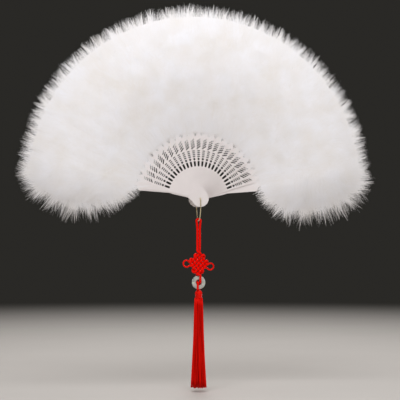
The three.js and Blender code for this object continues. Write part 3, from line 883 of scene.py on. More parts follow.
def run_barbs(rng, looks, blade, run):
    """Fine barbs on one run of the soft edge, in locks that stand nearly straight out: root, middle, tip
    and tone of each."""
    length, place = edge_run(looks, blade, run)
    inner = run == "inner"
    fringe = looks.inner_fringe if inner else looks.fringe
    locks = max(FEWEST_LOCKS, round(length / looks.lock_pitch))
    lock = rng.integers(0, locks, round(length * looks.edge_density))
    count = len(lock)
    loose = rng.random(count) < (LOBE_LOOSE if run == "lobe" else looks.loose_share)
    shares = ((np.arange(locks) + rng.random(locks)) / locks)[lock]
    shares = np.clip(shares + rng.normal(0, LOCK_SPREAD / length, count), 0, 1)
    shares[loose] = rng.random(loose.sum())
    offsets, rim, normal = place(shares)

    # Tips stagger deeper and fade more slowly round the side of a lobe
    side_share = np.abs(rim[:, 0]) / lobe_width(looks, lobe_side(blade))
    softness = smoothstep(LOBE_SOFT_FROM, LOBE_SOFT_TO, side_share)
    stagger = fringe + looks.core_inset
    stagger = stagger + softness * (LOBE_STAGGER * looks.lobe_inset - stagger)
    short = (LOCK_STAGGER * rng.random(locks))[lock] * stagger
    short += np.abs(rng.normal(0, TIP_SPREAD, count)) * (1 + LOBE_TIP_SPREAD * softness)
    short -= (LONG_LOCKS * rng.random(locks) ** LONG_LOCK_POWER)[lock] * fringe
    fade = 1 - softness * (1 - LOBE_FADE)
    short[loose] = (rng.random(count) ** fade * LOOSE_STAGGER * stagger)[loose]
    short += TUFT_DEPTH * sway(rng, shares * length)

    sideways = np.stack([-normal[:, 1], normal[:, 0]], axis=1)
    lean = EDGE_SWAY * sway(rng, shares * length)
    lean = lean + rng.normal(0, LOCK_LEAN, locks)[lock] + rng.normal(0, BARB_LEAN, count)
    heading = unit(normal + sideways * lean[:, None])
    tip = rim + normal * (fringe - short)[:, None]
    span = rng.uniform(*EDGE_LENGTHS, (count, 1))
    root = tip - heading * span + sideways * rng.normal(0, ROOT_SPREAD, (count, 1))
    middle = (tip + root) / 2 + sideways * rng.normal(0, EDGE_BOW, (count, 1)) * span
    away_tip = rng.normal(0, LOCK_DEPTH, locks)[lock] * looks.core_depth + rng.normal(0, TIP_DEPTH, count)
    away_root = np.clip(rng.normal(0, ROOT_DEPTH, count), -ROOT_DEPTH_LIMIT, ROOT_DEPTH_LIMIT)
    away_root = away_root * looks.core_depth
    if inner:
        away_tip = np.sign(away_root) * np.abs(away_tip)
    away_middle = MIDDLE_FROM_ROOT * away_root + MIDDLE_FROM_TIP * away_tip
    aways = (away_root, away_middle, away_tip)
    points = on_blade(blade, offsets, rim[:, 0], (root, middle, tip), aways)
    return [*points, rng.normal(0, LOCK_TONE, locks)[lock]]


def edge_barbs(rng, looks, blade):
    """Barbs all along the soft edge of a plume: root, middle, tip and tone of each."""
    runs = ("outer", "inner", "lobe") if lobe_side(blade) else ("outer", "inner")
    found = [run_barbs(rng, looks, blade, run) for run in runs]
    return [np.concatenate(parts) for parts in zip(*found)]


def fill_barbs(rng, looks, blade):
    """Loose down on the dense down, on both its faces: root, middle, tip and tone of each."""
    end = lobe_side(blade)
    outer, inner = core_heights(looks, blade)
    width = lobe_width(looks, end) - looks.lobe_inset
    in_sector = looks.fill_count // 2 if end else looks.fill_count
    in_lobe = LOBE_FILL * looks.fill_count if end else 0
    count = in_sector + in_lobe
    offsets = np.zeros(count)
    left = -FILL_OVERLAP if end >= 0 else 0
    right = FILL_OVERLAP if end <= 0 else 0
    offsets[:in_sector] = rng.uniform(left, right, in_sector)
    side_share = np.zeros(count)
    side_share[in_sector:] = rng.random(in_lobe)
    sides = end * width * side_share
    share = rng.uniform(-1, 1, count)
    height = np.where(share > 0, outer, inner) * share
    along = PLUME_CENTRE + height * lobe_shape(end, side_share, share > 0)
    face = rng.choice([-1.0, 1.0], count)
    crown = (1 - side_share**CORE_FLATNESS) ** CORE_CROWN
    away_root = face * looks.core_depth * core_level(share) * crown
    root = np.stack([sides, along], axis=1)

    # Down points outwards, sideways at the rim of a lobe and inwards over the sticks
    sideways = end * side_share**2
    ahead = np.where(share < FILL_INWARDS, share, FILL_OUTWARDS + np.maximum(share, 0))
    turn = np.arctan2(sideways, ahead) + rng.normal(0, FILL_SCATTER, count)
    heading = np.stack([np.sin(turn), np.cos(turn)], axis=1)
    edge = np.maximum(np.abs(share), side_share)[:, None]
    length = rng.uniform(*FILL_LENGTHS, (count, 1)) * (1 - RIM_SHORTENING * edge**RIM_POWER)
    beside = np.stack([heading[:, 1], -heading[:, 0]], axis=1)
    curl = beside * rng.normal(0, FILL_CURL, (count, 1)) * length
    tip = root + heading * length
    middle = root + heading * length / 2 + curl
    lift = np.minimum(np.abs(rng.normal(0, FILL_LIFT, count)), FILL_LIFT_LIMIT) * looks.fluff_depth
    away_tip = away_root + face * lift
    away_middle = away_root + face * lift * rng.uniform(*FILL_ARCH, count)
    aways = (away_root, away_middle, away_tip)
    points = on_blade(blade, offsets, sides, (root, middle, tip), aways)
    return [*points, rng.normal(0, BARB_TONE, count)]


def side_barbs(rng, looks, blade):
    """Barbs on the sides of a plume's shaft, hidden among its neighbours' down until the fan shuts: root,
    middle, tip and tone of each."""
    end = lobe_side(blade)
    hands = [hand for hand in (-1, 1) if hand != end]
    hand = np.repeat(hands, looks.side_count)
    count = len(hand)
    outer, inner = core_heights(looks, blade)
    share = rng.uniform(-1, 1, count)
    along = PLUME_CENTRE + np.where(share > 0, outer, inner) * share
    power = np.where(share > 0, CORE_FLATNESS, SIDE_FOOT_POWER)
    width = looks.side_width * np.sqrt(1 - np.abs(share) ** power)
    blades_left = np.where(hand > 0, BLADE_COUNT - 1 - blade, blade)
    width = np.minimum(width, blades_left * PITCH * along)
    sides = hand * width * np.sqrt(rng.random(count))
    rise = np.abs(sides) * rng.uniform(*SIDE_RISES, count)
    foot = np.maximum(along - rise, looks.inner_end + looks.core_inset)
    tip = np.stack([sides, along], axis=1)
    root = np.stack([SIDE_ROOT * sides, foot], axis=1)
    middle = np.stack([SIDE_MIDDLE * sides, foot + SIDE_MIDDLE_RISE * (along - foot)], axis=1)
    away = np.clip(rng.normal(0, SIDE_DEPTH, count), -SIDE_DEPTH_LIMIT, SIDE_DEPTH_LIMIT)
    away = away * looks.core_depth * core_level(share)
    flats = (root, middle, tip)
    points = [in_open_fan(blade, flat, away * part) for flat, part in zip(flats, SIDE_DEPTH_PARTS)]
    return [*points, rng.normal(0, BARB_TONE, count)]


def plume_strands(rng, looks, blade):
    """The barbs of a plume as rings of points in their place on the fan, and their columns."""
    kinds = [grow(rng, looks, blade) for grow in (edge_barbs, fill_barbs, side_barbs)]
    root, middle, tip, tone = [np.concatenate(parts) for parts in zip(*kinds)]
    count = len(root)
    t = np.linspace(0, 1, looks.barb_points)[None, :, None]
    lines = root[:, None] * (1 - t) ** 2 + 2 * middle[:, None] * t * (1 - t) + tip[:, None] * t**2
    share = t[:, :, 0]
    taper = BARB_ROOT + (1 - BARB_ROOT) * np.minimum(share / BARB_FULL, 1)
    taper = taper * (1 - share**BARB_TAPER)
    widths = looks.barb_width * rng.uniform(*BARB_WIDTHS, (count, 1)) * taper + BARB_TIP
    twist = rng.normal(0, BARB_TWIST, (count, 1)) * np.ones_like(share)
    lean = np.stack([np.sin(twist), np.cos(twist), np.zeros_like(twist)], axis=2)
    tone = tone + 0.5 + 0.5 * fluff_lumps(root[:, 0], root[:, 2])
    columns = np.clip(tone * COLUMNS, 0, COLUMNS - 1).astype(int)
    return strand_rings(lines, widths, BARB_RIDGE, lean), columns


def grow_plumes(looks):
    """Dense and loose down on every blade."""
    down = down_material(looks)
    dense = core_material(looks)
    for blade in range(BLADE_COUNT):
        rng = np.random.default_rng(looks.seed + blade)
        label = blade_label(blade)
        rings, columns = plume_strands(rng, looks, blade)
        places = strand_map(columns, rings.shape[1])
        loose = skin(f"plume_down_{label}", rings, places, STRAND_MAP, down, fluffy=True)
        loose.visible_shadow = False
        rings = core_rings(looks, blade)
        places = even_map(rings.shape[1], rings.shape[0])
        core = skin(f"plume_core_{label}", rings[None], places[None], LAY_MAP, dense, fluffy=True)
        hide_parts(f"plume_{label}")
        for piece in (core, loose):
            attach(piece, blade_body(blade))
            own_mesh(piece)


# Bail


def bail_line():
    """The wire from its end in the middle of the stack, round the foot and back to the other end."""
    bar_points = 8
    bend_points = 9
    foot_points = 25
    sharpness = 1.1
    bar_end = BAIL_FACE - BAIL_BEND
    bar = [(y, 0.0) for y in np.linspace(WIRE_END, bar_end, bar_points)]
    bend = []
    for turn in np.linspace(math.pi / 2, 0, bend_points)[1:]:
        bend.append((bar_end + BAIL_BEND * math.cos(turn), -BAIL_BEND + BAIL_BEND * math.sin(turn)))
    foot = []
    for turn in np.linspace(0, math.pi / 2, foot_points):
        reach = abs(math.cos(turn)) ** sharpness
        fall = math.sin(turn) ** sharpness
        foot.append((BAIL_FACE * reach, -LEG_END - (BAIL_DROP - LEG_END) * fall))
    half = np.array([*bar, *bend, *foot])
    mirrored = half[-2::-1] * np.array([-1, 1])
    both = np.concatenate([half, mirrored])
    return np.stack([np.zeros(len(both)), both[:, 0], both[:, 1]], axis=1)


def bend_bail(looks):
    """The brass wire that pins the stack and carries the pendant."""
    line = bail_line()
    sides = 14
    rings = tube_rings(line, np.full(len(line), WIRE_RADIUS), sides)
    places = lay_map(line, sides, 2 * WIRE_RADIUS)
    piece = skin("bail_wire", rings[None], places[None], LAY_MAP, brass_material(looks))
    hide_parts("bail")
    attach(piece, "bail")


# Pendant


def lattice_point(right, left, y):
    """A point of the knot's lattice, from steps down to the right and to the left of its top corner."""
    x = (right - left) * math.sqrt(0.5)
    z = KNOT_HALF_DIAGONAL - (right + left) * math.sqrt(0.5)
    return np.array([x, y, z * KNOT_STRETCH])


def ear_loop(hand, rise):
    """The large loop beside the knot, where a strand makes its first turn."""
    steps = 9
    centre_x = KNOT_HALF_DIAGONAL + EAR_RADIUS + CORD_RADIUS / 2
    centre_z = -KNOT_PITCH / 2
    points = []
    for k in range(steps + 1):
        turn = math.radians(EAR_START_DEGREES - EAR_SWEEP_DEGREES * k / steps)
        y = -hand * rise * math.cos(math.pi * (k + 1) / (steps + 2))
        x = hand * (centre_x + EAR_RADIUS * math.cos(turn))
        points.append((x, y, centre_z + EAR_RADIUS * math.sin(turn)))
    return points


def knot_strand(hand):
    """One strand of the endless knot, to and fro across the lattice, over and under the other strand."""
    depth = WEAVE_DEPTH / 2
    samples = 3
    turn_steps = 6
    last = KNOT_LINES - 1
    mirror = np.array([hand, 1, 1])
    points = []
    for row in range(KNOT_LINES):
        forward = row % 2 == 0
        for k in range(last * samples + 1):
            crossing = k / samples if forward else last - k / samples
            y = -hand * depth * math.cos(math.pi * (crossing + row))
            points.append(lattice_point(crossing * KNOT_PITCH, row * KNOT_PITCH, y) * mirror)
        if row == last:
            break
        end = 1 if forward else -1
        edge = KNOT_SIDE if forward else 0
        rise = depth * math.cos(math.pi * ((last if forward else 0) + row))
        if row == 0:
            points.extend(ear_loop(hand, rise))
            continue
        for k in range(1, turn_steps):
            turn = math.pi * k / turn_steps
            run = edge + end * (KNOT_TURN_REACH + KNOT_PITCH / 2 * math.sin(turn))
            drop = (row + 0.5) * KNOT_PITCH - KNOT_PITCH / 2 * math.cos(turn)
            points.append(lattice_point(run, drop, -hand * rise * math.cos(turn)) * mirror)
    points = np.array(points)
    cos, sin = math.cos(KNOT_TILT), math.sin(KNOT_TILT)
    x = points[:, 0] * cos + points[:, 2] * sin
    z = -points[:, 0] * sin + points[:, 2] * cos + KNOT_CENTRE_Z
    return np.stack([x, points[:, 1], z], axis=1)


def disc_tail(hand):
    """From the knot past one face of the disc, through its hole and down its other face to the tassel."""
    arc_steps = 3
    clear = DISC_HALF_THICKNESS + SEAT_GAP + CORD_RADIUS
    bend = CORD_RADIUS + SEAT_GAP
    side = DISC_RADIUS / 2 + bend / 2
    inner = math.hypot(STRAND_OFFSET, clear) - CORD_RADIUS
    seat = math.sqrt((BALL_RADIUS + SEAT_GAP) ** 2 - inner**2)
    places = [(-clear, DISC_CENTRE_Z + DISC_RADIUS + SEAT_GAP), (-clear, DISC_CENTRE_Z + side)]
    for k in range(arc_steps + 1):
        turn = math.pi + math.pi / 2 * k / arc_steps
        places.append((bend - clear + bend * math.cos(turn), DISC_CENTRE_Z + bend + bend * math.sin(turn)))
    for k in range(arc_steps + 1):
        turn = math.pi / 2 - math.pi / 2 * k / arc_steps
        places.append((clear - bend + bend * math.cos(turn), DISC_CENTRE_Z - bend + bend * math.sin(turn)))
    places += [(clear, DISC_CENTRE_Z - side), (clear, BALL_CENTRE_Z + seat)]
    return np.array([(hand * STRAND_OFFSET, hand * y, z) for y, z in places])


def hang_line(hand):
    """From the top of the bail's foot down one side to the top of the knot."""
    loop_points = 4
    shares_down = (0.1, 0.25, 0.45, 0.65, 0.82, 0.94)
    closing = 4 * CORD_RADIUS
    points = []
    for turn in np.linspace(0, math.pi / 2, loop_points):
        x = -hand * LOOP_RADIUS * math.sin(turn)
        points.append((x, 0, -BAIL_DROP + LOOP_RADIUS * math.cos(turn)))
    for share in shares_down:
        x = -hand * max(STRAND_OFFSET, LOOP_RADIUS - closing * share)
        apart = max(0, share - PART_SHARE) / (1 - PART_SHARE)
        points.append((x, -hand * WEAVE_DEPTH * apart / 2, -BAIL_DROP - HANG_LENGTH * share))
    return np.array(points)


def cord_radii(line):
    """The cord swells where the knot squeezes it, and is drawn thin in the two ears."""
    from_knot = np.abs(line[:, 2] - KNOT_CENTRE_Z) - KNOT_HALF_HEIGHT
    from_middle = np.abs(line[:, 0]) - KNOT_HALF_DIAGONAL
    hanging = smoothstep(-CORD_RADIUS, 2 * CORD_RADIUS, from_knot)
    in_ear = smoothstep(-CORD_RADIUS, 2 * CORD_RADIUS, from_middle)
    in_knot = KNOT_CORD_RADIUS + (EAR_CORD_RADIUS - KNOT_CORD_RADIUS) * in_ear
    return in_knot + (CORD_RADIUS - in_knot) * hanging


def hang_cord(looks):
    """The cord: two lengths from the bail down to the knot, and the knot with the tails that hold the
    disc."""
    braid = cord_material(looks)
    sides = 12
    steps = 5
    knots = [smooth_line(np.vstack([knot_strand(hand), disc_tail(hand)]), steps) for hand in (1, -1)]
    rings = np.stack([tube_rings(line, cord_radii(line), sides) for line in knots])
    places = np.stack([lay_map(line, sides, 2 * CORD_RADIUS) for line in knots])
    knot = skin("endless_knot", rings, places, LAY_MAP, braid)
    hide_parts("tassel_cord")
    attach(knot, "pendant")
    for hand, name in ((1, "hanging_cord_left"), (-1, "hanging_cord_right")):
        line = smooth_line(np.vstack([hang_line(hand), knot_strand(hand)[:2]]), steps)
        rings = tube_rings(line, cord_radii(line), sides)
        places = lay_map(line, sides, 2 * CORD_RADIUS)
        piece = skin(name, rings[None], places[None], LAY_MAP, braid)
        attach(piece, "pendant")


def turn_disc(looks):
    """The stone disc with rounded edges and a hole."""
    sides = 32
    around = 96
    squareness = 0.55
    middle = (DISC_RADIUS + DISC_HOLE_RADIUS) / 2
    half_width = (DISC_RADIUS - DISC_HOLE_RADIUS) / 2
    profile_turns = np.linspace(0, 2 * math.pi, sides, endpoint=False)
    reach = middle + half_width * signed_power(np.cos(profile_turns), squareness)
    depth = DISC_HALF_THICKNESS * signed_power(np.sin(profile_turns), squareness)
    turns = np.linspace(0, 2 * math.pi, around, endpoint=False)[:, None]
    x = reach * np.cos(turns)
    z = reach * np.sin(turns) + DISC_CENTRE_Z
    rings = np.stack([x, np.broadcast_to(depth, x.shape), z], axis=2)
    places = even_map(sides, around + 1)
    piece = skin("stone_ring", rings[None], places[None], LAY_MAP, stone_material(looks), closed=True)
    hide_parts("stone_disc")
    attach(piece, "pendant")


def tassel_head(silk):
    """The bound head: threads drawn over a ball, and a neck wound round with thread in three bands."""
    sides = 72
    ball_rows = 16
    ball_top = math.radians(86)
    thread_count = 36
    thread_relief = 0.16 * MM
    windings = 12
    winding_rows = 6
    winding_relief = 0.14 * MM
    grooves = (0.3, 0.7)
    groove_width = 0.04
    groove_depth = 0.45 * MM
    rows = []
    for turn in np.linspace(ball_top, 0, ball_rows):
        rows.append((BALL_RADIUS * math.sin(turn), BALL_RADIUS * math.cos(turn), thread_relief))
    for k in range(1, windings * winding_rows + 1):
        share = k / (windings * winding_rows)
        groove = groove_depth * max(math.exp(-(((share - at) / groove_width) ** 2)) for at in grooves)
        reach = BALL_RADIUS - groove + winding_relief * abs(math.sin(math.pi * windings * share))
        rows.append((-HEAD_NECK * share, reach, 0.0))
    heights, reaches, reliefs = np.array(rows).T[..., None]
    turns = np.linspace(0, -2 * math.pi, sides, endpoint=False)
    reach = reaches + reliefs * np.abs(np.sin(thread_count / 2 * turns))[None]
    height = np.broadcast_to(heights + BALL_CENTRE_Z, reach.shape)
    rings = np.stack([reach * np.cos(turns), reach * np.sin(turns), height], axis=2)
    places = even_map(sides, len(rows))
    piece = skin("bound_head", rings[None], places[None], STRAND_MAP, silk)
    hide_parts("tassel_head")
    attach(piece, "tassel")


def tassel_threads(silk, looks):
    """The skirt: loose threads that hang from the head, drawn in at the top and open towards the hem."""
    points = 14
    swell_end = 0.12
    flare = 1.6
    drift = 0.1
    bend_depth = 0.5 * MM
    bends = (1, 3)
    shortening = 0.05
    width_shares = (0.8, 1.2)
    ridge = 1.2
    rng = np.random.default_rng(looks.seed)
    count = looks.thread_count
    share = np.linspace(0, 1, points)[None]
    swell = np.sqrt(np.minimum(1, share / swell_end))
    upper = SKIRT_TOP_RADIUS + (SKIRT_WAIST_RADIUS - SKIRT_TOP_RADIUS) * swell
    radius = upper + (SKIRT_HEM_RADIUS - SKIRT_WAIST_RADIUS) * share**flare
    place = np.sqrt((np.arange(count) + 0.5) / count)[:, None]
    golden = math.pi * (3 - math.sqrt(5))
    turn = golden * np.arange(count)[:, None] + drift * share * rng.normal(0, 1, (count, 1))
    reach = place * (radius - looks.thread_width / 2)
    bend = bend_depth * rng.normal(0, 1, (count, 1))
    bend = bend * np.sin(math.pi * share * rng.uniform(*bends, (count, 1)))
    length = SKIRT_LENGTH * (1 - shortening * rng.random((count, 1)) ** 2)
    x = reach * np.cos(turn) + bend * np.cos(turn + math.pi / 2)
    y = reach * np.sin(turn) + bend * np.sin(turn + math.pi / 2)
    z = SKIRT_TOP_Z - length * share
    lines = np.stack([x, y, np.broadcast_to(z, x.shape)], axis=2)
    widths = looks.thread_width * rng.uniform(*width_shares, (count, 1)) * np.ones_like(share)
    faces = np.stack([np.cos(turn), np.sin(turn), np.zeros_like(turn)], axis=2)
    rings = strand_rings(lines, widths, ridge, -faces)
    places = strand_map(np.arange(count) % COLUMNS, points)
    piece = skin("tassel_threads", rings, places, STRAND_MAP, silk)
    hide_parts("tassel_skirt")
    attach(piece, "tassel")


# Stage


def add_lamp(name, power):
    """A square soft lamp that faces the fan."""
    size, place, colour = LAMPS[name]
    light = bpy.data.lights.new(name, "AREA")
    light.size = size
    light.energy = power
    light.color = colour
    holder = bpy.data.objects.new(name, light)
    holder.location = place
    holder.rotation_euler = (Vector(LAMP_TARGET) - Vector(place)).to_track_quat("-Z", "Y").to_euler()
    bpy.context.scene.collection.objects.link(holder)


def place_camera(looks):
    """The camera at the photograph's angle."""
    camera_data = bpy.data.cameras.new("camera")
    camera = bpy.data.objects.new("camera", camera_data)
    turn = looks.azimuth
    rise = looks.elevation
    away = Vector((math.sin(turn) * math.cos(rise), -math.cos(turn) * math.cos(rise), math.sin(rise)))
    camera.location = Vector(looks.target) + away * looks.distance
    camera.rotation_euler = (-away).to_track_quat("-Z", "Y").to_euler()
    camera_data.sensor_width = SENSOR_WIDTH
    camera_data.lens = camera_data.sensor_width * looks.distance / looks.frame_width
    bpy.context.scene.collection.objects.link(camera)
    bpy.context.scene.camera = camera


def seen_directly(tree):
    """1 for what the camera sees directly, by reflection or through glass, else 0."""
    path = add_node(tree, "ShaderNodeLightPath")
    mirrored = calc(tree, "MAXIMUM", path.outputs["Is Glossy Ray"], path.outputs["Is Transmission Ray"])
    return calc(tree, "MAXIMUM", path.outputs["Is Camera Ray"], mirrored)


def light_world(looks):
    """Even light from all round, and a plain backdrop."""
    world = bpy.data.worlds.new("studio")
    world.use_nodes = True
    tree = world.node_tree
    tree.nodes.clear()
    output = add_node(tree, "ShaderNodeOutputWorld")
    even = {"Color": (*looks.fill_colour, 1), "Strength": looks.fill}
    fill = add_node(tree, "ShaderNodeBackground", even)
    backdrop = add_node(tree, "ShaderNodeBackground", {"Color": (*looks.backdrop_colour, 1)})
    parts = {0: seen_directly(tree), 1: fill.outputs[0], 2: backdrop.outputs[0]}
    mix = add_node(tree, "ShaderNodeMixShader", parts)
    tree.links.new(mix.outputs[0], output.inputs["Surface"])
    bpy.context.scene.world = world


def floor_material(looks):
    """Pale matt floor that passes into the backdrop away from the fan."""
    material, tree, shader = new_material("pale_floor", Roughness=0.7, Specular_IOR_Level=0.2)
    place = add_node(tree, "ShaderNodeNewGeometry").outputs["Position"]
    grain = noise(tree, scale=6.0, detail=3.0, place=place)
    colour = looks.floor_colour
    paint(tree, shader, grain, [(0.3, shade(colour, 0.97)), (0.7, colour)])
    distance = add_node(tree, "ShaderNodeVectorMath", {0: place}, operation="LENGTH").outputs["Value"]
    reach = {"Value": distance, "From Min": FLOOR_FADE_FROM, "From Max": FLOOR_FADE_TO}
    far = add_node(tree, "ShaderNodeMapRange", reach, interpolation_type="SMOOTHSTEP")
    fade = calc(tree, "MULTIPLY", far.outputs[0], seen_directly(tree))
    glow = add_node(tree, "ShaderNodeEmission", {"Color": (*looks.backdrop_colour, 1)})
    parts = {0: fade, 1: shader.outputs[0], 2: glow.outputs[0]}
    mix = add_node(tree, "ShaderNodeMixShader", parts)
    tree.links.new(mix.outputs[0], tree.nodes["Material Output"].inputs["Surface"])
    return material


def lay_floor(looks):
    """A round floor a little below the tassel."""
    level = CAD_BOX[0].z - looks.floor_gap
    bpy.ops.mesh.primitive_circle_add(
        vertices=96, radius=FLOOR_RADIUS, fill_type="NGON", location=(0, 0, level)
    )
    floor = bpy.context.object
    floor.name = "floor"
    floor.data.materials.append(floor_material(looks))


# Settings


def length_setting(name, description, default):
    """A length that a user may change."""
    return FloatProperty(name=name, description=description, default=default, unit="LENGTH")


def angle_setting(name, description, degrees):
    """An angle that a user may change."""
    return FloatProperty(name=name, description=description, default=math.radians(degrees), subtype="ANGLE")


def power_setting(name, description, default):
    """The power of a lamp, which a user may change."""
    return FloatProperty(name=name, description=description, default=default, subtype="POWER")


def colour_setting(name, description, default):
    """A colour that a user may change."""
    return FloatVectorProperty(name=name, description=description, default=default, subtype="COLOR")


def count_setting(name, description, default, least):
    """A whole number that a user may change."""
    return IntProperty(name=name, description=description, default=default, min=least)


class FanPlumeSettings(bpy.types.PropertyGroup):
    """Sizes and colours of the plumes."""

    edge_density: FloatProperty(
        name="Edge barbs", description="Barbs in each metre of the edge", default=17000, min=100
    )
    lock_pitch: length_setting("Lock pitch", "From one lock of the edge to the next", 1.1 * MM)
    loose_share: FloatProperty(
        name="Loose share",
        description="Share of the edge barbs outside locks",
        default=0.6,
        subtype="FACTOR",
    )
    fill_count: count_setting("Loose barbs", "Barbs of loose down on a blade", 1000, 20)
    side_count: count_setting(
        "Side barbs", "Barbs on a side of a plume, which show as the fan shuts", 450, 20
    )
    side_width: length_setting("Side width", "How far those barbs reach from the shaft", 58 * MM)
    barb_points: count_setting("Barb points", "Points along each barb", 5, 4)
    barb_width: length_setting("Barb width", "Width of a barb with its barbules", 0.28 * MM)
    fluff_depth: length_setting("Fluff depth", "How far loose down lifts off a plume's core", 6 * MM)
    fringe: length_setting("Fringe", "How far the longest tips pass the plume's edge", 6.5 * MM)
    inner_fringe: length_setting("Inner fringe", "How far wisps pass the plume's inner end", 15 * MM)
    core_depth: length_setting("Core depth", "Half the thickness of the dense down", 9 * MM)
    core_inset: length_setting("Core inset", "How far the dense core stops short of the edge", 11 * MM)
    left_lobe_width: length_setting("Left lobe", "How far down spreads past the left guard", 69 * MM)
    right_lobe_width: length_setting("Right lobe", "How far down spreads past the right guard", 74 * MM)
    lobe_inset: length_setting("Lobe inset", "How far the dense core stops short of a lobe's edge", 25 * MM)
    inner_end: length_setting("Inner end", "Distance of the plume's inner end from the pivot", 88 * MM)
    warm_colour: colour_setting("Warm colour", "Colour of down where it is warmest", (0.845, 0.815, 0.785))
    cool_colour: colour_setting("Cool colour", "Colour of down where it is coolest", (0.9, 0.895, 0.915))
    seed: IntProperty(name="Seed", description="Start of the chance that lays out the barbs", default=11)


class FanStickSettings(bpy.types.PropertyGroup):
    """Colours of the sticks, the ribbon and the bail."""

    plastic_colour: colour_setting(
        "Plastic colour", "Colour of sticks, guards and ribbon", (0.88, 0.825, 0.81)
    )
    wire_colour: colour_setting("Wire colour", "Colour of the brass wire", (0.92, 0.8, 0.52))


class FanPendantSettings(bpy.types.PropertyGroup):
    """Sizes and colours of the pendant."""

    thread_count: count_setting("Threads", "Threads in the tassel", 340, 12)
    thread_width: length_setting("Thread width", "Width of a tassel thread", 0.9 * MM)
    cord_colour: colour_setting("Cord colour", "Colour of the braided cord", (0.92, 0.006, 0.002))
    silk_colour: colour_setting("Silk colour", "Colour of the tassel", (0.9, 0.006, 0.002))
    stone_colour: colour_setting("Stone colour", "Colour of the stone disc", (0.52, 0.55, 0.5))
    seed: IntProperty(name="Seed", description="Start of the chance that lays out the threads", default=5)


class FanStageSettings(bpy.types.PropertyGroup):
    """Camera, light and floor."""

    azimuth: angle_setting("Azimuth", "Camera's turn round the fan", -10)
    elevation: angle_setting("Elevation", "Camera's rise above level", -1)
    distance: length_setting("Distance", "From the camera to its target", 2.0)
    frame_width: length_setting("Frame width", "Width of the view at the target", 0.56)
    target: FloatVectorProperty(
        name="Target",
        description="What the camera looks at",
        default=(0.002, 0, -0.002),
        subtype="TRANSLATION",
    )
    floor_gap: length_setting("Floor gap", "From the tassel's hem down to the floor", 6 * MM)
    floor_colour: colour_setting("Floor colour", "Colour of the floor", (0.6, 0.57, 0.535))
    backdrop_colour: colour_setting("Backdrop colour", "Colour behind the fan", (0.023, 0.022, 0.0195))
    fill_colour: colour_setting("Fill colour", "Colour of the light from all round", (1.0, 0.94, 0.9))
    fill: FloatProperty(name="Fill", description="Strength of the light from all round", default=0.33)
    key: power_setting("Key", "Power of the main light", 47)
    side: power_setting("Side", "Power of the side light", 6)
    back: power_setting("Back", "Power of the light behind the fan", 18)


# Operators


class FAN_OT_set_stage(bpy.types.Operator):
    """Places the camera, the lights and the floor"""

    bl_idname = "fan.set_stage"
    bl_label = "Set the stage"

    def execute(self, context):
        looks = context.scene.fan_stage
        context.scene.view_settings.view_transform = "Standard"
        place_camera(looks)
        light_world(looks)
        lay_floor(looks)
        for name in LAMPS:
            add_lamp(name, getattr(looks, name))
        return {"FINISHED"}


class FAN_OT_hang_cord(bpy.types.Operator):
    """Hangs the cord on the bail and ties its knot"""

    bl_idname = "fan.hang_cord"
    bl_label = "Hang the cord"

    def execute(self, context):
        hang_cord(context.scene.fan_pendant)
        return {"FINISHED"}


class FAN_OT_dress_sticks(bpy.types.Operator):
    """Gives the sticks and guards their plastic"""

    bl_idname = "fan.dress_sticks"
    bl_label = "Dress the sticks"

    def execute(self, context):
        dress_sticks(context.scene.fan_sticks)
        return {"FINISHED"}


class FAN_OT_lay_ribbon(bpy.types.Operator):
    """Lays the ribbon that joins the sticks"""

    bl_idname = "fan.lay_ribbon"
    bl_label = "Lay the ribbon"

    def execute(self, context):
        lay_ribbon(context.scene.fan_sticks)
        return {"FINISHED"}


class FAN_OT_bend_bail(bpy.types.Operator):
    """Bends the wire bail"""

    bl_idname = "fan.bend_bail"
    bl_label = "Bend the bail"

    def execute(self, context):
        bend_bail(context.scene.fan_sticks)
        return {"FINISHED"}


class FAN_OT_turn_disc(bpy.types.Operator):
    """Turns the stone disc"""

    bl_idname = "fan.turn_disc"
    bl_label = "Turn the disc"

    def execute(self, context):
        turn_disc(context.scene.fan_pendant)
        return {"FINISHED"}


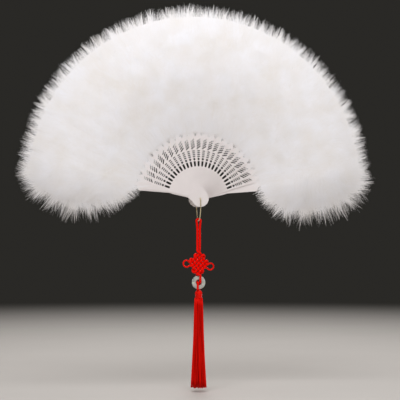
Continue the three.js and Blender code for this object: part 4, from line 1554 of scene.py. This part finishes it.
class FAN_OT_bind_tassel(bpy.types.Operator):
    """Binds the tassel's head and hangs its threads"""

    bl_idname = "fan.bind_tassel"
    bl_label = "Bind the tassel"

    def execute(self, context):
        looks = context.scene.fan_pendant
        silk = silk_material(looks)
        tassel_head(silk)
        tassel_threads(silk, looks)
        return {"FINISHED"}


class FAN_OT_grow_plumes(bpy.types.Operator):
    """Grows a plume of down on every blade"""

    bl_idname = "fan.grow_plumes"
    bl_label = "Grow the plumes"

    def execute(self, context):
        grow_plumes(context.scene.fan_plumes)
        return {"FINISHED"}


OPERATORS = (
    FAN_OT_set_stage,
    FAN_OT_hang_cord,
    FAN_OT_dress_sticks,
    FAN_OT_lay_ribbon,
    FAN_OT_bend_bail,
    FAN_OT_turn_disc,
    FAN_OT_bind_tassel,
    FAN_OT_grow_plumes,
)

SETTINGS = {
    "fan_stage": FanStageSettings,
    "fan_plumes": FanPlumeSettings,
    "fan_sticks": FanStickSettings,
    "fan_pendant": FanPendantSettings,
}


class FAN_PT_panel(bpy.types.Panel):
    """Lists the steps that dress the fan, and their settings"""

    bl_idname = "FAN_PT_panel"
    bl_label = "Feather fan"
    bl_space_type = "VIEW_3D"
    bl_region_type = "UI"
    bl_category = "Fan"

    def draw(self, context):
        for operator in OPERATORS:
            self.layout.operator(operator.bl_idname)
        for name, group in SETTINGS.items():
            box = self.layout.box()
            for key in group.__annotations__:
                box.prop(getattr(context.scene, name), key)


CLASSES = (*SETTINGS.values(), *OPERATORS, FAN_PT_panel)


def register():
    """Adds the settings, the steps and the panel to Blender."""
    for each in CLASSES:
        bpy.utils.register_class(each)
    for name, group in SETTINGS.items():
        setattr(bpy.types.Scene, name, PointerProperty(type=group))


def unregister():
    """Takes them out again."""
    for name in SETTINGS:
        delattr(bpy.types.Scene, name)
    for each in reversed(CLASSES):
        bpy.utils.unregister_class(each)


def main():
    """Registers the steps and dresses the fan."""
    register()
    bpy.ops.fan.set_stage()
    bpy.ops.fan.hang_cord()
    bpy.ops.fan.dress_sticks()
    bpy.ops.fan.lay_ribbon()
    bpy.ops.fan.bend_bail()
    bpy.ops.fan.turn_disc()
    bpy.ops.fan.bind_tassel()
    bpy.ops.fan.grow_plumes()


if __name__ == "__main__":
    main()
